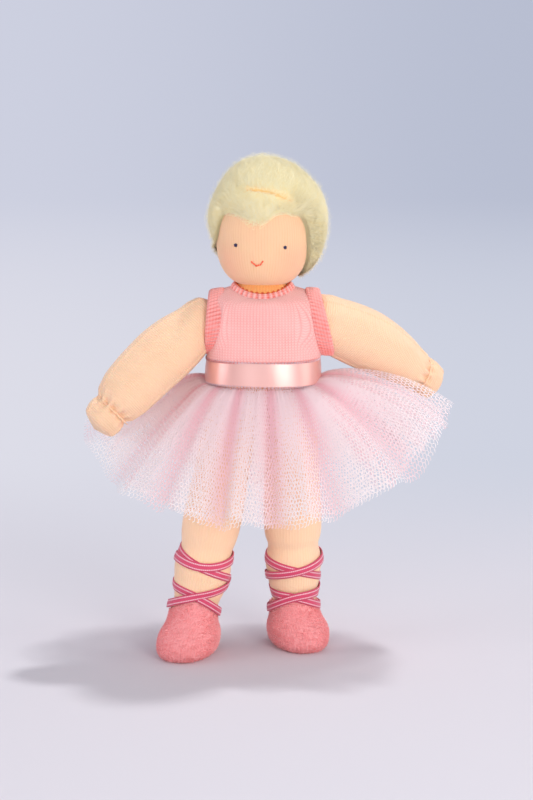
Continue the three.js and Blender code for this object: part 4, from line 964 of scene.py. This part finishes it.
def hair_edge(angle):
    """Lowest angle above level that hair reaches: a fringe lowest in the middle, then down beside the cheeks."""
    return radians(smooth_through(off_front(angle), HAIR_EDGE[:, 0], HAIR_EDGE[:, 1]))


def skull(ray):
    """Distance from the hair's centre to the head along a ray, found by a few steps on the head's own formula."""
    r = np.full(ray.shape[:-1], 13.5)
    for _ in range(12):
        p = HAIR_CENTRE + ray * r[..., None]
        power, half = head_part(p[..., 2])
        level = np.hypot(p[..., 0] / HEAD_HALF_WIDTH, p[..., 1] / HEAD_HALF_DEPTH)
        value = (level**power + (np.abs(p[..., 2] - HEAD_CENTRE) / half) ** power) ** (1 / power)
        r = r / np.maximum(value, 1e-3)
    return r


def crown_fold(angle, lift):
    """Degrees above the fold where the crown's roll meets the fringe, and how far in front that place is."""
    off = off_front(angle)
    fold = smooth_through(off, [-180, -70, -25, -7, 10, 25, 41, 60, 180], [36, 38, 41, 41, 39, 35, 29, 24, 22])
    return np.degrees(lift) - fold, eased(part((off + 30) / 22) * part((58 - off) / 22))


def hair_radius(angle, lift):
    """Outer distance of the wool: four profiles blended round the head, a fold across the front and a thin edge."""
    outer = 0
    for name, toward in (("viewer_right", cos(angle)), ("viewer_left", -cos(angle)), ("back", sin(angle)),
                         ("front", -sin(angle))):
        outer = outer + smooth_through(np.degrees(lift), HAIR_LIFTS, HAIR_PROFILES[name]) * part(toward) ** 2
    past, front = crown_fold(angle, lift)
    outer = outer + front * (0.22 * np.tanh(past / 4) * np.exp(-np.abs(past) / 26) - 0.5 * np.exp(-(past / 1.5) ** 2))
    bone = skull(hair_ray(angle, lift))
    ease = 1 - (1 - part((lift - hair_edge(angle)) / radians(22))) ** 2.6
    return bone + 0.12 + (np.maximum(outer, bone + 0.5) - bone - 0.12) * ease, bone


def comb(pick, a, up, length, heading, name):
    """Fibres laid over the wool from their roots: heading is the angle from sideways to up, with wander and lift."""
    count, steps = len(a), 8
    loose = pick.random(count) < 0.15
    direction = heading + pick.normal(0, 0.55, count)
    curl = pick.normal(0, 0.12, count) + np.where(loose, pick.normal(0, 0.2, count), 0)
    sway, lift_off = pick.uniform(0, TURN, count), pick.uniform(-0.25, 0.45, count)
    rise = np.where(loose, pick.uniform(0.06, 0.24, count), pick.uniform(0, 0.03, count))
    past_edge = part(pick.uniform(-0.3, 1.0, count)) ** 1.6
    path = []
    for k in range(steps):
        r, _ = hair_radius(a, up)
        path.append(HAIR_CENTRE + hair_ray(a, up) * (r + lift_off + rise * k)[:, None])
        step = length / (steps - 1)
        turn = direction + 0.5 * sin(sway + 1.6 * k)
        up = up + sin(turn) * step / r
        over = up > np.pi / 2
        a = a + cos(turn) * step / (r * np.maximum(cos(up), 0.18))
        a = np.where(over, a + np.pi, a)
        up = np.where(over, np.pi - up, up)
        direction = np.where(over, -direction, direction) + curl
        off = off_front(a)
        beyond = np.where(np.abs(off - 3) < 52, 0.1 + 0.16 * np.exp(-(((off + 1) / 14) ** 2)), 0.0) * past_edge
        up = np.maximum(up, hair_edge(a) - beyond)
    paths = np.stack(path, 1)
    wide = np.linspace(1, 0.35, steps)[None] * pick.uniform(0.05, 0.11, count)[:, None]
    fibres(name, turned(paths), wide, turned(unit(paths - HAIR_CENTRE)), WOOL_FIBRE, "head")


def make_hair():
    """Wool mass over the head, then fibres combed over crown, fringe and sides, and a few loose ones."""
    columns, rows = 220, 110
    angle, share = full_turn(columns)[None], np.linspace(0, 1, rows)[:, None] ** 1.8
    low = hair_edge(angle) + 0.03 * part(1 - np.abs(off_front(angle) - 3) / 52) ** 0.5
    lift = low + (np.pi / 2 - low) * share
    angle = np.broadcast_to(angle, lift.shape)
    radius, bone = hair_radius(angle, lift)
    ray = hair_ray(angle, lift)
    lumps = 0.25 * sin(7 * angle + 4 * lift) * sin(6 * lift + 2 * angle) * part(share * 6) * cos(lift)
    outer, inner = (HAIR_CENTRE + ray * far[..., None] for far in (radius + lumps - 0.25, bone + 0.05))
    past, front = crown_fold(angle, lift)
    # Painted shade, golden: in and just above the fold where the crown's roll meets the fringe, and in a thin line
    # where the hair meets the face.
    beside = np.abs(off_front(angle) - 5)
    painted_face_edge_shade = np.exp(-(share / 0.0012) ** 2) * part((beside - 52) / 8) * part((100 - beside) / 12)
    painted_crease_shade = part(front * (0.5 * np.exp(-(past / 1.1) ** 2) + 0.45 * np.exp(-((past - 1) / 5) ** 2)) + painted_face_edge_shade)
    shell("hair_wool", turned(np.concatenate([inner[::-1], outer])), None, WOOL_BASE, "head", "hair", "hair_cap",
          "hair_crown_roll", "hair_fringe", tone_and_shade=np.concatenate([painted_crease_shade[::-1], painted_crease_shade]))
    pick = seeded(31)
    a = pick.uniform(0, TURN, 44000)
    up = np.arcsin(pick.uniform(-0.75, 1, len(a)))
    extra = 9000
    beside = radians(pick.uniform(52, 104, extra) * np.where(pick.random(extra) < 0.5, -1, 1) - 90)
    a = np.concatenate([a, beside])
    up = np.concatenate([up, hair_edge(beside) + np.abs(pick.normal(0, 0.12, extra))])
    keep = up > hair_edge(a) + 0.01
    a, up = a[keep], up[keep]
    off = off_front(a)
    past, front = crown_fold(a, up)
    crown = past > pick.normal(0, 9, len(a)) * (1 - front) - (8 * (1 - front))
    fringe = (np.abs(off) < 66) & ~crown
    clear = ~((np.abs(past) < 0.8) & (front > 0.4) & (pick.random(len(a)) < 0.85))
    swept = np.interp(off, [-70, -30, -14, -4, 6, 20, 45, 70],
                      np.pi + np.array([0.35, 0.2, 0.45, 1.3, 1.8, 2.2, 2.4, 2.15]))
    for name, chosen, heading, longest in (("crown", crown, np.full(len(a), np.pi / 2), 8),
                                           ("fringe", fringe, swept, 7),
                                           ("side", ~crown & ~fringe, np.where(off > 0, -1.25, np.pi + 1.25), 8)):
        chosen = chosen & clear
        comb(pick, a[chosen], up[chosen], pick.uniform(3, longest, chosen.sum()), heading[chosen],
             f"hair_{name}_strands")


for side in SIDES:
    for make in (make_arm, make_leg, make_slipper, make_lacing, make_armhole):
        make(side)
for make in (make_torso, make_bodice, make_neckline, make_hem, make_waist_ribbon):
    make()
for layer, name in enumerate(("top", "middle", "under")):
    make_net(f"net_{name}_layer", f"tutu_{name}_layer", layer)
for make in (make_head, make_neck, make_hair):
    make()

# CAD pieces that keep their own shape
for node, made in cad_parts.items():
    kept = (STUFFING if node.endswith("_stuffing") else WIRE_STEEL if "wire" in node
            else TAPE_COTTON if node == "tutu_waist_tape" else None)
    if kept:
        made.data.materials.clear()
        made.data.materials.append(kept)


# Floor and backdrop in one sweep, light and camera
def plain_ground():
    """Pale floor that curves up into a backdrop far behind; beyond the shadows the camera sees a painted glow, darker
    to the right and further back, in place of the lit paper.
    """
    rows, columns, bend_share = 90, 12, 0.7
    s = np.linspace(0, 1, rows)[:, None]
    curve = np.maximum(s - bend_share, 0) / (1 - bend_share) * np.pi / 2
    y = np.where(s < bend_share, -2.6 + s / bend_share * 4.6, 2.0 + 0.6 * sin(curve))
    points = vec(np.linspace(-3.0, 3.0, columns)[None], y, 1.3 * (1 - cos(curve))).reshape(-1, 3)
    faces = grid_faces(rows, columns)
    mesh = bpy.data.meshes.new("studio_sweep")
    mesh.from_pydata(points.tolist(), [], faces.tolist())
    mesh.polygons.foreach_set("use_smooth", np.full(len(faces), True))
    sweep = bpy.data.objects.new("studio_sweep", mesh)
    bpy.context.scene.collection.objects.link(sweep)
    material, tree, shader = finish("StudioPaper", (214, 211, 218), 0.9)
    place = add_node(tree, "ShaderNodeTexCoord").outputs["Object"]
    across, back, _ = (Field(socket) for socket in add_node(tree, "ShaderNodeSeparateXYZ", {0: place}).outputs)
    bearing = across / maths("MAXIMUM", back + 0.57, 0.2)
    side, near, far = (stepped(tree, value, start, end, 1.0, "SMOOTHSTEP") for value, start, end in (
        (bearing, -0.16, 0.16), (back, 0.0, 0.3), (back, 0.3, 2.3)))
    # Painted light: the glow's colours grow darker to the right and further back, as the light falls off.
    left = mix(tree, far, (221, 221, 232), (205, 208, 224))
    right = mix(tree, far, (207, 211, 225), (184, 190, 209))
    seen = add_node(tree, "ShaderNodeEmission", {"Color": mix(tree, side, left, right), "Strength": 1.0})
    share = near * Field(add_node(tree, "ShaderNodeLightPath").outputs["Is Camera Ray"])
    both = add_node(tree, "ShaderNodeMixShader", {0: share, 1: shader.outputs[0], 2: seen.outputs[0]})
    tree.links.new(both.outputs[0], tree.nodes["Material Output"].inputs[0])
    mesh.materials.append(material)


def lamp(name, place, aim, size, power, rgb=(255, 255, 255)):
    """Square soft lamp that looks at a point."""
    data = bpy.data.lights.new(name, "AREA")
    data.shape, data.size, data.energy, data.color = "SQUARE", size, power, colour_of(rgb)[:3]
    made = bpy.data.objects.new(name, data)
    bpy.context.scene.collection.objects.link(made)
    made.location = place
    made.rotation_euler = (Vector(aim) - Vector(place)).to_track_quat("-Z", "Y").to_euler()


def set_camera():
    """Camera ten degrees above level in front of the doll, 85 mm lens on a 36 mm frame."""
    data = bpy.data.cameras.new("Camera")
    data.lens, data.sensor_width, data.sensor_height, data.sensor_fit = 85.0, 24.0, 36.0, "VERTICAL"
    made = bpy.data.objects.new("Camera", data)
    bpy.context.scene.collection.objects.link(made)
    aim = Vector((np.array([1.17, 0, 77.52]) + AXIS) * MM)
    lift, away = radians(10), 0.5763
    made.location = aim + Vector((0, -away * cos(lift), away * sin(lift)))
    made.rotation_euler = (aim - made.location).to_track_quat("-Z", "Y").to_euler()
    bpy.context.scene.camera = made


plain_ground()
set_camera()
lamp("FrontLamp", (0.45, -0.8, 0.34), (0, 0, 0.08), 0.4, 3.75, (255, 252, 246))
lamp("SideLamp", (-0.95, -0.3, 0.3), (0, 0, 0.08), 0.5, 2.4, (250, 248, 252))
lamp("RightLamp", (0.95, -0.25, 0.22), (0, 0, 0.08), 0.5, 1.7, (255, 250, 242))
lamp("FillLamp", (-0.3, -1.0, 0.12), (0, 0, 0.1), 0.7, 1.6, (255, 250, 242))
lamp("TopLamp", (0.46, 0.51, 1.9), (0, 0, 0.05), 0.14, 15.5)
world = bpy.context.scene.world or bpy.data.worlds.new("World")
bpy.context.scene.world = world
world.use_nodes = True
background = world.node_tree.nodes["Background"]
background.inputs[0].default_value = colour_of((238, 240, 250))
background.inputs[1].default_value = 0.58
bpy.context.scene.view_settings.view_transform = "Standard"
